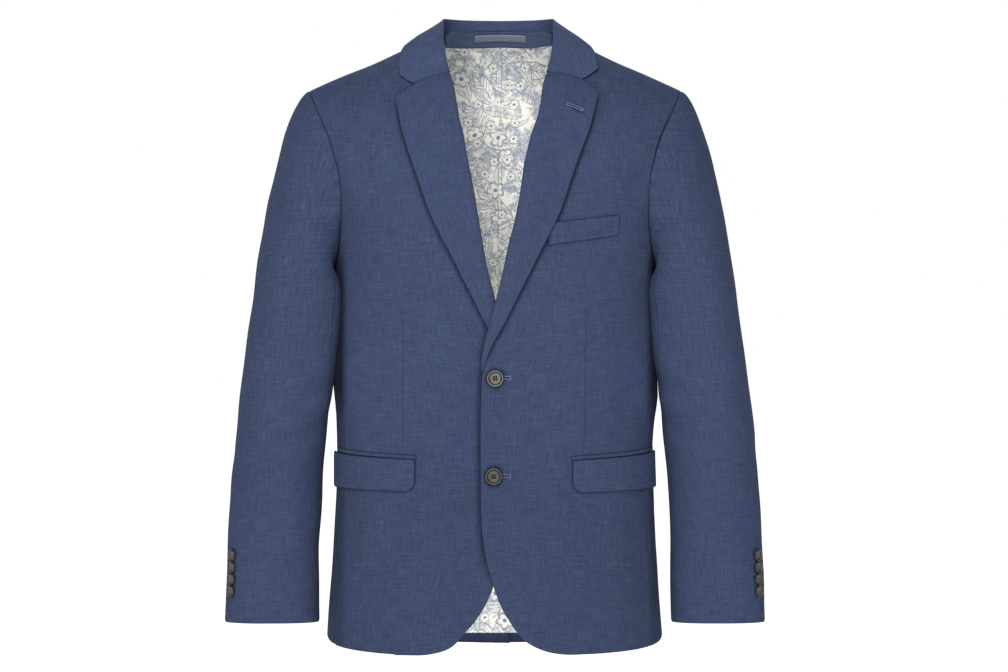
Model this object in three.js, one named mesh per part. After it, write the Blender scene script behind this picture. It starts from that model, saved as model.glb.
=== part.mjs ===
import * as THREE from 'three';

// Blazer in millimetres, +Z up, front towards -Y, wearer's left at +X.
// The origin is on the shoulder line, midway between the two neck points.

// Cloth thicknesses and the gaps left where two pieces are sewn together
const CLOTH = 1.6;
const LAPEL_CLOTH = 1.9;
const COLLAR_CLOTH = 1.5;
const LINING_CLOTH = 0.9;
const SEAM_GAP = 0.22;

// How far the layers lie from the body form, counted outwards
const LAPEL_LIFT = 4.7;
const LAPEL_TIP_LIFT = 2.5;
const COLLAR_LIFT = 4.6;
const UNDERLAP_DROP = 5.0;
const LINING_DROP = 3.0;
const FLAP_LIFT = 3.6;
const JET_LIFT = 2.0;
const WELT_LIFT = 2.1;

// Body form: half width and the depths of front, back and side at each height
const SECTION_POWER = 2.3;
const BODY = [
  { height: 60, half: 262, front: -66, back: 106, side: 0 },
  { height: 0, half: 262, front: -84, back: 107, side: 1 },
  { height: -60, half: 261, front: -101, back: 111, side: 3 },
  { height: -120, half: 239, front: -115, back: 114, side: 3 },
  { height: -180, half: 213, front: -123, back: 114, side: 2 },
  { height: -230, half: 199, front: -126, back: 111, side: 0 },
  { height: -285, half: 191, front: -124, back: 104, side: -4 },
  { height: -360, half: 190, front: -118, back: 93, side: -9 },
  { height: -430, half: 190, front: -115, back: 86, side: -13 },
  { height: -480, half: 189.5, front: -116, back: 89, side: -13 },
  { height: -540, half: 192, front: -119, back: 96, side: -12 },
  { height: -620, half: 196, front: -125, back: 104, side: -10 },
  { height: -700, half: 201, front: -130, back: 110, side: -9 },
  { height: -760, half: 205, front: -133, back: 113, side: -8 },
];

// Shoulder line: its height and its depth by distance from the centre
const SHOULDER = [
  { out: 0, height: 36, depth: 45 },
  { out: 40, height: 29, depth: 33 },
  { out: 66, height: 15, depth: 14 },
  { out: 78, height: 7, depth: 2 },
  { out: 108, height: -4, depth: 0 },
  { out: 122, height: -11, depth: 0 },
  { out: 151, height: -24.5, depth: 0 },
  { out: 180, height: -36.5, depth: 0 },
  { out: 209, height: -49, depth: 0 },
  { out: 226, height: -57, depth: 0 },
  { out: 262, height: -76, depth: 0 },
];
const SHOULDER_TURN_FRONT = 110;
const SHOULDER_TURN_BACK = 92;

// The neck opening sits a little towards the wearer's left
const NECK_SHIFT = 4.6;

// Armhole as angle round the body (0 front, 180 back) and height
const ARMHOLE_FRONT = [
  { angle: 55.0, height: -56 },
  { angle: 54.2, height: -60 },
  { angle: 53.2, height: -72 },
  { angle: 52.0, height: -92 },
  { angle: 51.2, height: -116 },
  { angle: 51.6, height: -140 },
  { angle: 53.4, height: -166 },
  { angle: 57.2, height: -196 },
  { angle: 62.4, height: -225 },
  { angle: 68.0, height: -248 },
];
const ARMHOLE_UNDER = [
  { angle: 68.0, height: -248 },
  { angle: 76.0, height: -267 },
  { angle: 85.0, height: -280 },
  { angle: 94.0, height: -284 },
  { angle: 103.0, height: -279 },
  { angle: 111.0, height: -265 },
  { angle: 118.0, height: -244 },
];
const ARMHOLE_BACK = [
  { angle: 118.0, height: -244 },
  { angle: 123.5, height: -217 },
  { angle: 127.0, height: -187 },
  { angle: 129.0, height: -158 },
  { angle: 129.6, height: -130 },
  { angle: 129.2, height: -104 },
  { angle: 128.4, height: -84 },
  { angle: 127.2, height: -69 },
  { angle: 126.0, height: -60 },
  { angle: 125.0, height: -56 },
];

// Lower seams of the side panel, as angle at each height
const SIDE_FRONT_SEAM = [
  { height: -248, angle: 68 },
  { height: -430, angle: 67 },
  { height: -713, angle: 67 },
];
const SIDE_BACK_SEAM = [
  { height: -244, angle: 118 },
  { height: -430, angle: 122 },
  { height: -717, angle: 122 },
];
const HEM = [
  { angle: -10, height: -719 },
  { angle: 30, height: -719.5 },
  { angle: 50, height: -717 },
  { angle: 67, height: -713 },
  { angle: 90, height: -707 },
  { angle: 122, height: -717 },
  { angle: 150, height: -724 },
  { angle: 190, height: -727 },
];

// Neck seam, roll line and front edge, as distance past the centre by height
const NECK_AND_ROLL = [
  { height: 7, out: 78 },
  { height: 0, out: 77 },
  { height: -10, out: 73.5 },
  { height: -22, out: 68.5 },
  { height: -38, out: 60.5 },
  { height: -60, out: 54.5 },
  { height: -78, out: 51 },
  { height: -96, out: 47 },
  { height: -114, out: 41.5 },
  { height: -132, out: 38 },
  { height: -167, out: 31 },
  { height: -202, out: 24.5 },
  { height: -237, out: 18 },
  { height: -272, out: 11 },
  { height: -309, out: 1.5 },
  { height: -335, out: -4.5 },
  { height: -362, out: -10.5 },
  { height: -385, out: -14 },
];
const FRONT_EDGE_OVER = [
  { height: -385, out: -14 },
  { height: -420, out: -16 },
  { height: -513, out: -16.5 },
  { height: -575, out: -14.8 },
  { height: -614, out: -9 },
  { height: -638, out: -2 },
  { height: -667, out: 9 },
  { height: -687, out: 21 },
];
const CORNER_OVER = [
  { out: 21, height: -687 },
  { out: 34, height: -702 },
  { out: 54, height: -713.5 },
  { out: 77, height: -719 },
  { out: 115, height: -719.5 },
];
const FRONT_EDGE_UNDER = [
  { height: -385, out: -14 },
  { height: -420, out: -16 },
  { height: -513, out: -16 },
  { height: -565, out: -13 },
  { height: -610, out: -5 },
  { height: -651, out: 5.5 },
  { height: -676, out: 19.5 },
  { height: -685, out: 26 },
];
const CORNER_UNDER = [
  { out: 26, height: -685 },
  { out: 35, height: -694 },
  { out: 49, height: -709.5 },
  { out: 72, height: -718.5 },
  { out: 115, height: -721 },
];

// Lapel: fold by height, outer edge by height, and the line where it meets the collar
const LAPEL_FOLD = [
  { height: -41.4, out: 58.8 },
  { height: -60, out: 53 },
  { height: -78, out: 49.3 },
  { height: -96, out: 45.4 },
  { height: -114, out: 39.8 },
  { height: -132, out: 36.3 },
  { height: -167, out: 29.2 },
  { height: -202, out: 22.8 },
  { height: -237, out: 16.4 },
  { height: -272, out: 9.4 },
  { height: -309, out: 0 },
  { height: -335, out: -6 },
  { height: -362, out: -11.8 },
  { height: -378, out: -14 },
];
const LAPEL_EDGE = [
  { height: -61, out: 119.5 },
  { height: -85, out: 114.5 },
  { height: -109, out: 109 },
  { height: -132, out: 101 },
  { height: -155, out: 93 },
  { height: -209, out: 74 },
  { height: -257, out: 50.2 },
  { height: -312, out: 23.2 },
  { height: -345, out: 7 },
  { height: -359, out: -2.5 },
  { height: -372, out: -8 },
  { height: -381, out: -11 },
];
const NOTCH_AT = 0.68;
const NOTCH_RISE = 5;

// Collar: fold line, neck seam and outer edge from the centre back to the front end
const COLLAR_FOLD = [
  [0, 80, 36.4], [25, 77, 36.4], [45, 66, 36], [59, 50, 35.5], [66, 30, 34], [67.5, 8, 30],
  [67.5, -14, 22], [67, -36, 8], [65, -56, -8], [62, -71, -23], [58.8, -84.5, -38],
];
const COLLAR_NECK = [
  [0, 72.5, 20], [25, 68.5, 19], [45, 56, 16], [60, 38, 13], [70, 19, 10.5], [74.5, 2, 8.5],
  [73.5, -17, 3.5], [71, -36, -5], [67.5, -53, -16], [62.5, -66, -27], [56.5, -77, -39],
];
const COLLAR_EDGE = [
  { face: 'back', out: 0, height: -8 },
  { face: 'back', out: 36, height: -8.5 },
  { face: 'back', out: 68, height: -8.5 },
  { face: 'back', out: 92, height: -7.5 },
  { face: 'back', out: 104, height: -5.5 },
  { face: 'front', out: 109, height: -5.5 },
  { face: 'front', out: 113.5, height: -13 },
  { face: 'front', out: 116.5, height: -24 },
  { face: 'front', out: 117.4, height: -35.6 },
];
const COLLAR_NOTCH_AT = 0.72;
const COLLAR_NOTCH_DROP = 11;
const COLLAR_FOLD_WIDTH = 4.6;

// Sleeve sections: outer and inner edge, front and back depth at each height
const SLEEVE_POWER = 2.25;
const SLEEVE = [
  { height: -306, outer: 290, inner: 187, front: -72, back: 66 },
  { height: -378, outer: 300, inner: 196, front: -72, back: 56 },
  { height: -450, outer: 308, inner: 200, front: -70, back: 46 },
  { height: -522, outer: 314.5, inner: 206, front: -68, back: 36 },
  { height: -594, outer: 318.5, inner: 209, front: -66, back: 26 },
  { height: -650, outer: 321, inner: 209.5, front: -63, back: 20 },
  { height: -691, outer: 322.5, inner: 209.5, front: -60, back: 16 },
];
const SLEEVE_TWIST = 68;
const SLEEVE_BODY_GAP = 4.2;
const CAP_RINGS = 6;
const ARM_RINGS = 8;

// Columns of the armhole where the two sleeve seams start
const FRONT_SLEEVE_SEAM = 9;
const BACK_SLEEVE_SEAM = 21;

// Vent: how far the under layer runs past the centre, and how high it starts
const VENT_TOP = -520;
const VENT_UNDERLAP = 17;
const VENT_DROP = 2.6;

// Pockets: corners as distance from the centre and height
const FLAP_RIGHT = { inner: 93, outer: 191, topIn: -493.5, topOut: -486, lowIn: -531, lowOut: -528.5 };
const FLAP_LEFT = { inner: 90.5, outer: 192, topIn: -494.5, topOut: -485, lowIn: -532.5, lowOut: -528.5 };
const JET_HEIGHT = 4.4;
const WELT = { inner: 62, outer: 145.5, topIn: -217.5, topOut: -207, lowIn: -244, lowOut: -231 };

// Lining seam and the strip of cloth round the back of the neck
const LINING_SEAM_OUT = 3.5;
const LINING_TOP = 4.5;
const LINING_HEM = -692;
const FACING_HALF = 58;
const LOOP = { from: -31, to: 35, low: 11, high: 18.5, bow: 2.6, cloth: 1.2 };

// Buttons
const FRONT_BUTTON = { diameter: 20.5, thick: 4.0, rim: 3.2, hole: 1.0 };
const FRONT_BUTTON_SPOTS = [{ out: 0.5, height: -398.5 }, { out: -1.3, height: -513 }];
const CUFF_BUTTON = { diameter: 13.9, thick: 3.2, rim: 2.2, hole: 0.7 };
const CUFF_BUTTON_FIRST = -609;
const CUFF_BUTTON_STEP = 14.2;
const CUFF_BUTTON_ANGLE = 54;
const CUFF_BUTTON_COUNT = 4;

const degrees = Math.PI / 180;
const blazer = new THREE.Group();
blazer.name = 'blazer';

const clothLook = new THREE.MeshStandardMaterial({ color: 0x3f4c6b, roughness: 0.92, metalness: 0 });
const liningLook = new THREE.MeshStandardMaterial({ color: 0xc9cbc8, roughness: 0.6, metalness: 0 });
const loopLook = new THREE.MeshStandardMaterial({ color: 0x6b7389, roughness: 0.5, metalness: 0 });
const buttonLook = new THREE.MeshStandardMaterial({ color: 0x4b4643, roughness: 0.45, metalness: 0 });

function smooth(value, from, to) {
  const t = Math.min(1, Math.max(0, (value - from) / (to - from)));
  return t * t * (3 - 2 * t);
}

// Smooth reading of one column of a table, keyed by another column
function read(table, key, column, at) {
  const rising = table[table.length - 1][key] > table[0][key];
  const rows = rising ? table : [...table].reverse();
  let i = 0;
  while (i < rows.length - 2 && at > rows[i + 1][key]) i += 1;
  const slope = (a, b) => (rows[b][column] - rows[a][column]) / (rows[b][key] - rows[a][key]);
  const span = rows[i + 1][key] - rows[i][key];
  const t = Math.min(1, Math.max(0, (at - rows[i][key]) / span));
  const here = slope(i, i + 1);
  const before = i > 0 ? (slope(i - 1, i) + here) / 2 : here;
  const after = i < rows.length - 2 ? (here + slope(i + 1, i + 2)) / 2 : here;
  const bend = (t - 1) * (t - 1) * t * before * span + (t - 1) * t * t * after * span;
  const blend = t * t * (3 - 2 * t);
  return rows[i][column] * (1 - blend) + rows[i + 1][column] * blend + bend;
}

// Angle round the body at which the form lies this far from the centre
function angleAt(out, height) {
  const part = Math.min(0.999, Math.abs(out) / read(BODY, 'height', 'half', height));
  const rest = Math.pow(1 - Math.pow(part, SECTION_POWER), 1 / SECTION_POWER);
  return (Math.sign(out) * Math.atan2(part, rest)) / degrees;
}

// Point of the body form for an angle and a height, on the wearer's left
function formPoint(angle, height) {
  const s = Math.sin(angle * degrees);
  const c = Math.cos(angle * degrees);
  const sum = Math.pow(Math.abs(s), SECTION_POWER) + Math.pow(Math.abs(c), SECTION_POWER);
  const reach = Math.pow(sum, -1 / SECTION_POWER);
  const out = read(BODY, 'height', 'half', height) * s * reach;
  const side = read(BODY, 'height', 'side', height);
  const face = c > 0 ? 'front' : 'back';
  const full = read(BODY, 'height', face, height);
  const depth = side + (full - side) * Math.abs(c) * reach;
  const away = Math.min(262, Math.abs(out));
  const top = read(SHOULDER, 'out', 'height', away);
  const ridge = read(SHOULDER, 'out', 'depth', away);
  const turn = face === 'front' ? SHOULDER_TURN_FRONT : SHOULDER_TURN_BACK;
  const t = Math.min(1, Math.max(0, (top - height) / turn));
  const share = Math.sqrt(1 - (1 - t) * (1 - t));
  return new THREE.Vector3(out, ridge + (depth - ridge) * share, height);
}

function formNormal(angle, height) {
  const low = formPoint(angle, height - 0.8);
  const here = formPoint(angle, height);
  const across = formPoint(angle + 0.4, height - 0.4).sub(formPoint(angle - 0.4, height - 0.4));
  return across.cross(here.sub(low)).normalize();
}

// Turns a point of the wearer's left half into the garment's own space
function settle(point, side) {
  const shift = NECK_SHIFT * smooth(point.z, -150, -20) * Math.max(0, 1 - Math.pow(point.x / 200, 2));
  return new THREE.Vector3(point.x * side + shift, point.y, point.z);
}

function flipNormal(normal, side) {
  return new THREE.Vector3(normal.x * side, normal.y, normal.z);
}

// One place on the form, moved outwards by the lift, with its normal
function place(angle, height, lift, side) {
  const normal = formNormal(angle, height);
  const point = formPoint(angle, height).addScaledVector(normal, lift);
  return { point: settle(point, side), normal: flipNormal(normal, side) };
}

// Patch between four edges, each a list of { angle, height }
function patch(inner, outer, top, bottom) {
  const rows = inner.length - 1;
  const columns = top.length - 1;
  const start = inner[0].height - inner[rows].height;
  return inner.map((left, i) => {
    const v = (inner[0].height - left.height) / start;
    return top.map((upper, j) => {
      const u = j / columns;
      const mix = (key) => {
        const across = left[key] * (1 - u) + outer[i][key] * u;
        const down = upper[key] * (1 - v) + bottom[j][key] * v;
        const corners = (top[0][key] * (1 - u) + top[columns][key] * u) * (1 - v)
          + (bottom[0][key] * (1 - u) + bottom[columns][key] * u) * v;
        return across + down - corners;
      };
      return { angle: mix('angle'), height: mix('height') };
    });
  });
}

// Pulls the border of a grid inwards, so that two sewn pieces keep a gap
function pullIn(grid, gap) {
  const rows = grid.length - 1;
  const columns = grid[0].length - 1;
  const copy = grid.map((row) => row.map((spot) => spot.point.clone()));
  grid.forEach((row, i) => row.forEach((spot, j) => {
    const inward = new THREE.Vector3();
    if (i === 0) inward.add(copy[1][j].clone().sub(copy[0][j]).normalize());
    if (i === rows) inward.add(copy[rows - 1][j].clone().sub(copy[rows][j]).normalize());
    if (j === 0) inward.add(copy[i][1].clone().sub(copy[i][0]).normalize());
    if (j === columns) inward.add(copy[i][columns - 1].clone().sub(copy[i][columns]).normalize());
    spot.point = copy[i][j].clone().addScaledVector(inward, gap);
  }));
  return grid;
}

// Closed wall from a grid of { point, normal }: outer skin, inner skin and rims
function wallGeometry(grid, thick) {
  const rows = grid.length;
  const columns = grid[0].length;
  const positions = [];
  const corners = [];
  const outer = (i, j) => i * columns + j;
  const inner = (i, j) => rows * columns + i * columns + j;
  grid.forEach((row) => row.forEach((spot) => positions.push(...spot.point.toArray())));
  grid.forEach((row) => row.forEach((spot) => {
    positions.push(...spot.point.clone().addScaledVector(spot.normal, -thick).toArray());
  }));
  const quad = (a, b, c, d) => corners.push(a, b, c, a, c, d);
  for (let i = 0; i < rows - 1; i += 1) {
    for (let j = 0; j < columns - 1; j += 1) {
      quad(outer(i, j), outer(i, j + 1), outer(i + 1, j + 1), outer(i + 1, j));
      quad(inner(i, j), inner(i + 1, j), inner(i + 1, j + 1), inner(i, j + 1));
    }
  }
  for (let j = 0; j < columns - 1; j += 1) {
    quad(outer(0, j), inner(0, j), inner(0, j + 1), outer(0, j + 1));
    quad(outer(rows - 1, j), outer(rows - 1, j + 1), inner(rows - 1, j + 1), inner(rows - 1, j));
  }
  for (let i = 0; i < rows - 1; i += 1) {
    quad(outer(i, 0), outer(i + 1, 0), inner(i + 1, 0), inner(i, 0));
    quad(outer(i, columns - 1), inner(i, columns - 1), inner(i + 1, columns - 1), outer(i + 1, columns - 1));
  }
  return closedGeometry(positions, corners);
}

// Indexed geometry whose faces point outwards
function closedGeometry(positions, corners) {
  let volume = 0;
  const at = (k) => new THREE.Vector3(positions[3 * k], positions[3 * k + 1], positions[3 * k + 2]);
  for (let k = 0; k < corners.length; k += 3) {
    volume += at(corners[k]).dot(at(corners[k + 1]).cross(at(corners[k + 2])));
  }
  const order = [...corners];
  if (volume < 0) {
    for (let k = 0; k < order.length; k += 3) {
      [order[k + 1], order[k + 2]] = [order[k + 2], order[k + 1]];
    }
  }
  const geometry = new THREE.BufferGeometry();
  geometry.setAttribute('position', new THREE.Float32BufferAttribute(positions, 3));
  geometry.setIndex(order);
  geometry.computeVertexNormals();
  return geometry;
}

function addPiece(name, geometry, look) {
  const piece = new THREE.Mesh(geometry, look);
  piece.name = name;
  blazer.add(piece);
  return piece;
}

// Normals of a free grid of points, from its neighbours
function gridNormals(points) {
  const rows = points.length - 1;
  const columns = points[0].length - 1;
  return points.map((row, i) => row.map((point, j) => {
    const down = points[Math.min(rows, i + 1)][j].clone().sub(points[Math.max(0, i - 1)][j]);
    const across = points[i][Math.min(columns, j + 1)].clone().sub(points[i][Math.max(0, j - 1)]);
    return down.cross(across).normalize();
  }));
}

function countOut(count, make) {
  return Array.from({ length: count + 1 }, (_, k) => make(k / count));
}

// Heights along an inner edge that keep step with the rows of the outer edge
function inStep(outer, from, to) {
  const first = outer[0].height;
  const last = outer[outer.length - 1].height;
  return outer.map((row) => from + ((row.height - first) / (last - first)) * (to - from));
}

function seamDown(table, from, to, cells) {
  return countOut(cells, (t) => {
    const height = from + (to - from) * t;
    return { angle: read(table, 'height', 'angle', height), height };
  }).slice(1);
}

function shoulderSeam(from, to, cells, face) {
  return countOut(cells, (t) => {
    const out = from + (to - from) * t;
    const height = read(SHOULDER, 'out', 'height', out);
    const angle = angleAt(out, height);
    return { angle: face === 'front' ? angle : 180 - angle, height };
  });
}

const LOWER_CELLS = 10;
const FRONT_HEM_CELLS = 9;

// Front from the neck point and the fold to the side seam
function frontSpots(edge, corner) {
  const lower = seamDown(SIDE_FRONT_SEAM, -248, -713, LOWER_CELLS);
  const outer = [...ARMHOLE_FRONT, ...lower];
  const heights = inStep(outer, 7, edge[edge.length - 1].height);
  const inner = heights.map((height) => {
    const table = height > -385 ? NECK_AND_ROLL : edge;
    return { angle: angleAt(read(table, 'height', 'out', height), height), height };
  });
  const top = shoulderSeam(78, 223, FRONT_HEM_CELLS, 'front');
  inner[0] = top[0];
  outer[0] = top[FRONT_HEM_CELLS];
  const first = corner[0];
  const startAngle = angleAt(first.out, first.height);
  const bottom = countOut(FRONT_HEM_CELLS, (t) => {
    const angle = startAngle + (67 - startAngle) * Math.pow(t, 1.35);
    const out = formPoint(angle, -715).x;
    const onCorner = read(corner, 'out', 'height', Math.min(115, out));
    const height = out < 115 ? onCorner : read(HEM, 'angle', 'height', angle) + (onCorner + 719) * 0.4;
    return { angle, height };
  });
  bottom[0] = inner[inner.length - 1];
  bottom[FRONT_HEM_CELLS] = outer[outer.length - 1];
  return patch(inner, outer, top, bottom);
}

// How far the under front drops behind the upper one near the buttons
function underlapDrop(angle, height) {
  const out = formPoint(angle, height).x;
  return UNDERLAP_DROP * (1 - smooth(out, 22, 80)) * smooth(-height, 215, 300);
}

function addFront(name, side, edge, corner, under) {
  const spots = frontSpots(edge, corner).map((row) => row.map((spot) => {
    const lift = under ? -underlapDrop(spot.angle, spot.height) : 0;
    return place(spot.angle, spot.height, lift, side);
  }));
  addPiece(name, wallGeometry(pullIn(spots, SEAM_GAP), CLOTH), clothLook);
}

function addSidePanel(name, side) {
  const top = ARMHOLE_UNDER;
  const columns = top.length - 1;
  const front = [top[0], ...seamDown(SIDE_FRONT_SEAM, -248, -713, LOWER_CELLS)];
  const back = [top[columns], ...seamDown(SIDE_BACK_SEAM, -244, -717, LOWER_CELLS)];
  const bottom = countOut(columns, (t) => {
    const angle = 67 + (122 - 67) * t;
    return { angle, height: read(HEM, 'angle', 'height', angle) };
  });
  bottom[0] = front[LOWER_CELLS];
  bottom[columns] = back[LOWER_CELLS];
  const spots = patch(front, back, top, bottom);
  const walls = spots.map((row) => row.map((spot) => place(spot.angle, spot.height, 0, side)));
  addPiece(name, wallGeometry(pullIn(walls, SEAM_GAP), CLOTH), clothLook);
}

const NECK_CELLS = 3;
const BACK_SHOULDER_CELLS = 5;

// Back from the centre seam to the armhole and the side seam
function backSpots(centreOut, neckHeight, hemHeight, grow) {
  const lower = seamDown(SIDE_BACK_SEAM, -244, hemHeight === null ? -717 : hemHeight, LOWER_CELLS);
  const outer = [...[...ARMHOLE_BACK].reverse(), ...lower];
  const last = hemHeight === null ? -727 : hemHeight;
  const heights = inStep(outer, neckHeight, last);
  const inner = heights.map((height) => {
    const past = grow * smooth(-height, -VENT_TOP, -VENT_TOP + 12);
    return { angle: 180 - angleAt(centreOut - past, height), height };
  });
  const neck = countOut(NECK_CELLS, (t) => {
    const out = centreOut + (77.5 - centreOut) * t;
    const height = neckHeight + (read(SHOULDER, 'out', 'height', 77.5) - neckHeight) * Math.pow(t, 1.6);
    return { angle: 180 - angleAt(out, height), height };
  });
  const top = [...neck, ...shoulderSeam(78, 223, BACK_SHOULDER_CELLS, 'back').slice(1)];
  const columns = top.length - 1;
  inner[0] = top[0];
  outer[0] = top[columns];
  const endAngle = outer[outer.length - 1].angle;
  const startAngle = inner[inner.length - 1].angle;
  const bottom = countOut(columns, (t) => {
    const angle = startAngle + (endAngle - startAngle) * t;
    return { angle, height: hemHeight === null ? read(HEM, 'angle', 'height', angle) : hemHeight };
  });
  bottom[0] = inner[inner.length - 1];
  bottom[columns] = outer[outer.length - 1];
  return patch(inner, outer, top, bottom);
}

// The wearer's right back runs on under the left one below the vent top
function addBack(name, side, under) {
  const grow = under ? VENT_UNDERLAP : 0;
  const walls = backSpots(0, 20, null, grow).map((row) => row.map((spot) => {
    const out = formPoint(spot.angle, spot.height).x;
    const deep = under ? VENT_DROP * (1 - smooth(out, 4, 40)) * smooth(-spot.height, 470, 520) : 0;
    return place(spot.angle, spot.height, -deep, side);
  }));
  addPiece(name, wallGeometry(pullIn(walls, SEAM_GAP), CLOTH), clothLook);
}

// Lining of one half of the back, inside the cloth
function addBackLining(name, side) {
  const centre = LINING_SEAM_OUT * side;
  const spots = backSpots(centre, LINING_TOP, LINING_HEM, 0);
  const rows = spots.length;
  const columns = spots[0].length;
  const walls = spots.map((row, i) => row.map((spot, j) => {
    const edge = 7 * (1 - smooth(i, 0, 6)) + 5 * smooth(j, columns - 4, columns - 1) * (i < rows - 8 ? 1 : 0);
    const out = formPoint(spot.angle, spot.height).x;
    const fold = 1.2 * (1 - smooth(Math.abs(out - centre), 0, 9));
    const vent = VENT_DROP * (1 - smooth(out, 26, 62)) * smooth(-spot.height, 440, 500);
    return place(spot.angle, spot.height - edge, -LINING_DROP - fold - vent, side);
  }));
  addPiece(name, wallGeometry(pullIn(walls, 0.3), LINING_CLOTH), liningLook);
}

// Strip of cloth inside the back of the neck
function addBackNeckFacing() {
  const walls = countOut(14, (t) => {
    const out = -FACING_HALF + 2 * FACING_HALF * t;
    const away = Math.abs(out) / FACING_HALF;
    const high = 18.4 - 7.5 * Math.pow(away, 1.7);
    const low = LINING_TOP + 1.2 - 1.5 * away;
    return countOut(2, (v) => {
      const height = high + (low - high) * v;
      const spot = place(180 - angleAt(Math.abs(out), height), height, -LINING_DROP, Math.sign(out) || 1);
      return spot;
    });
  });
  addPiece('back_neck_facing', wallGeometry(walls, LINING_CLOTH), clothLook);
}

// Hanging loop on the facing, bowed forward in the middle
function addHangerLoop() {
  const walls = countOut(10, (t) => {
    const out = LOOP.from + (LOOP.to - LOOP.from) * t;
    const bow = LOOP.bow * Math.sin(Math.PI * t);
    const sag = 1.5 * Math.pow(2 * t - 1, 2);
    return [LOOP.high, LOOP.low].map((height) => {
      const angle = 180 - angleAt(Math.abs(out), height - sag);
      const spot = place(angle, height - sag, -LINING_DROP - LINING_CLOTH - 0.9, Math.sign(out) || 1);
      spot.point.y -= bow;
      return spot;
    });
  });
  addPiece('hanger_loop', wallGeometry(walls, LOOP.cloth), loopLook);
}

function lapelLift(height) {
  return LAPEL_LIFT + (LAPEL_TIP_LIFT - LAPEL_LIFT) * smooth(-height, 235, 300);
}

// Peak from 0 to 1 at one place along a line and back to 0 at its end
function notchShape(w, at) {
  return w < at ? w / at : (1 - w) / (1 - at);
}

function addLapel(name, side, under) {
  const lengths = [0, 0.06, 0.13, 0.21, 0.3, 0.39, 0.48, 0.57, 0.66, 0.75, 0.83, 0.9, 0.96, 1];
  const widths = [0, 0.2, 0.45, NOTCH_AT, 1];
  const walls = lengths.map((v) => widths.map((w) => {
    const foldHeight = -41.4 - (378 - 41.4) * v;
    const edgeHeight = -61 - (381 - 61) * v;
    const foldOut = read(LAPEL_FOLD, 'height', 'out', foldHeight);
    const edgeOut = read(LAPEL_EDGE, 'height', 'out', edgeHeight);
    const out = foldOut + (edgeOut - foldOut) * w;
    const rise = NOTCH_RISE * notchShape(w, NOTCH_AT) * (1 - smooth(v, 0, 0.12));
    const height = foldHeight + (edgeHeight - foldHeight) * w + rise;
    const angle = angleAt(out, height);
    const drop = under ? underlapDrop(angle, height) : 0;
    const roll = 1.4 * Math.sin(Math.PI * Math.min(1, w * 1.6)) * smooth(edgeOut - foldOut, 8, 30);
    return place(angle, height, lapelLift(height) + roll - drop, side);
  }));
  addPiece(name, wallGeometry(pullIn(walls, SEAM_GAP), LAPEL_CLOTH), clothLook);
}

// Keeps a point of the collar above the shoulder and the chest
function clearOfForm(point, lift) {
  const top = read(SHOULDER, 'out', 'height', Math.min(262, Math.abs(point.x)));
  const ridge = read(SHOULDER, 'out', 'depth', Math.min(262, Math.abs(point.x)));
  if (point.z >= top - 0.5) return point;
  const angle = angleAt(point.x, point.z);
  if (point.y < ridge) {
    const least = formPoint(angle, point.z).addScaledVector(formNormal(angle, point.z), lift);
    return point.y > least.y ? new THREE.Vector3(point.x, least.y, point.z) : point;
  }
  const spot = formPoint(180 - angle, point.z);
  spot.addScaledVector(formNormal(180 - angle, point.z), lift);
  return point.y < spot.y ? new THREE.Vector3(point.x, spot.y, point.z) : point;
}

// Collar: neck seam up to the fold and over it to the outer edge
function addCollar() {
  const vectors = (list) => new THREE.CatmullRomCurve3(list.map((row) => new THREE.Vector3(...row)));
  const fold = vectors(COLLAR_FOLD);
  const neck = vectors(COLLAR_NECK);
  const edge = new THREE.CatmullRomCurve3(COLLAR_EDGE.map((row) => {
    const angle = angleAt(row.out, row.height);
    const turned = row.face === 'front' ? angle : 180 - angle;
    return formPoint(turned, row.height).addScaledVector(formNormal(turned, row.height), COLLAR_LIFT);
  }));
  const half = countOut(14, (u) => {
    const top = fold.getPoint(u);
    const base = neck.getPoint(u);
    const rim = edge.getPoint(u);
    const outward = new THREE.Vector3(rim.x - base.x, rim.y - base.y, 0).normalize();
    const wide = COLLAR_FOLD_WIDTH * (1 - 0.45 * smooth(u, 0.75, 1));
    const start = top.clone().addScaledVector(outward, wide * 0.5).add(new THREE.Vector3(0, 0, -1.6));
    const back = top.clone().addScaledVector(outward, -wide * 0.5).add(new THREE.Vector3(0, 0, -1.8));
    const row = [base, base.clone().lerp(back, 0.5), back, top];
    const widths = [0, 0.25, 0.5, COLLAR_NOTCH_AT, 1];
    widths.forEach((w) => {
      const point = start.clone().lerp(rim, w);
      const bow = 2.2 * Math.sin(Math.PI * w) * (1 - smooth(u, 0.6, 0.95));
      point.addScaledVector(outward, bow).add(new THREE.Vector3(0, 0, bow));
      point.z -= COLLAR_NOTCH_DROP * notchShape(w, COLLAR_NOTCH_AT) * smooth(u, 0.86, 1);
      row.push(w > 0.1 ? clearOfForm(point, COLLAR_LIFT) : point);
    });
    return row;
  });
  const other = half.slice(1).reverse().map((row) => row.map((point) => settle(point, -1)));
  const points = [...other, ...half.map((row) => row.map((point) => settle(point, 1)))];
  const normals = gridNormals(points);
  const walls = points.map((row, i) => row.map((point, j) => ({ point, normal: normals[i][j] })));
  const middle = walls[14][6];
  const sign = middle.normal.y > 0 ? 1 : -1;
  walls.forEach((row) => row.forEach((spot) => spot.normal.multiplyScalar(sign)));
  addPiece('collar', wallGeometry(walls, COLLAR_CLOTH), clothLook);
}

// Half width of the body form at a depth, below the armhole
function bodyReach(depth, height) {
  const side = read(BODY, 'height', 'side', height);
  const full = read(BODY, 'height', depth < side ? 'front' : 'back', height) - side;
  const part = Math.min(1, Math.abs((depth - side) / full));
  const shape = Math.pow(1 - Math.pow(part, SECTION_POWER), 1 / SECTION_POWER);
  return read(BODY, 'height', 'half', height) * shape;
}

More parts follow.
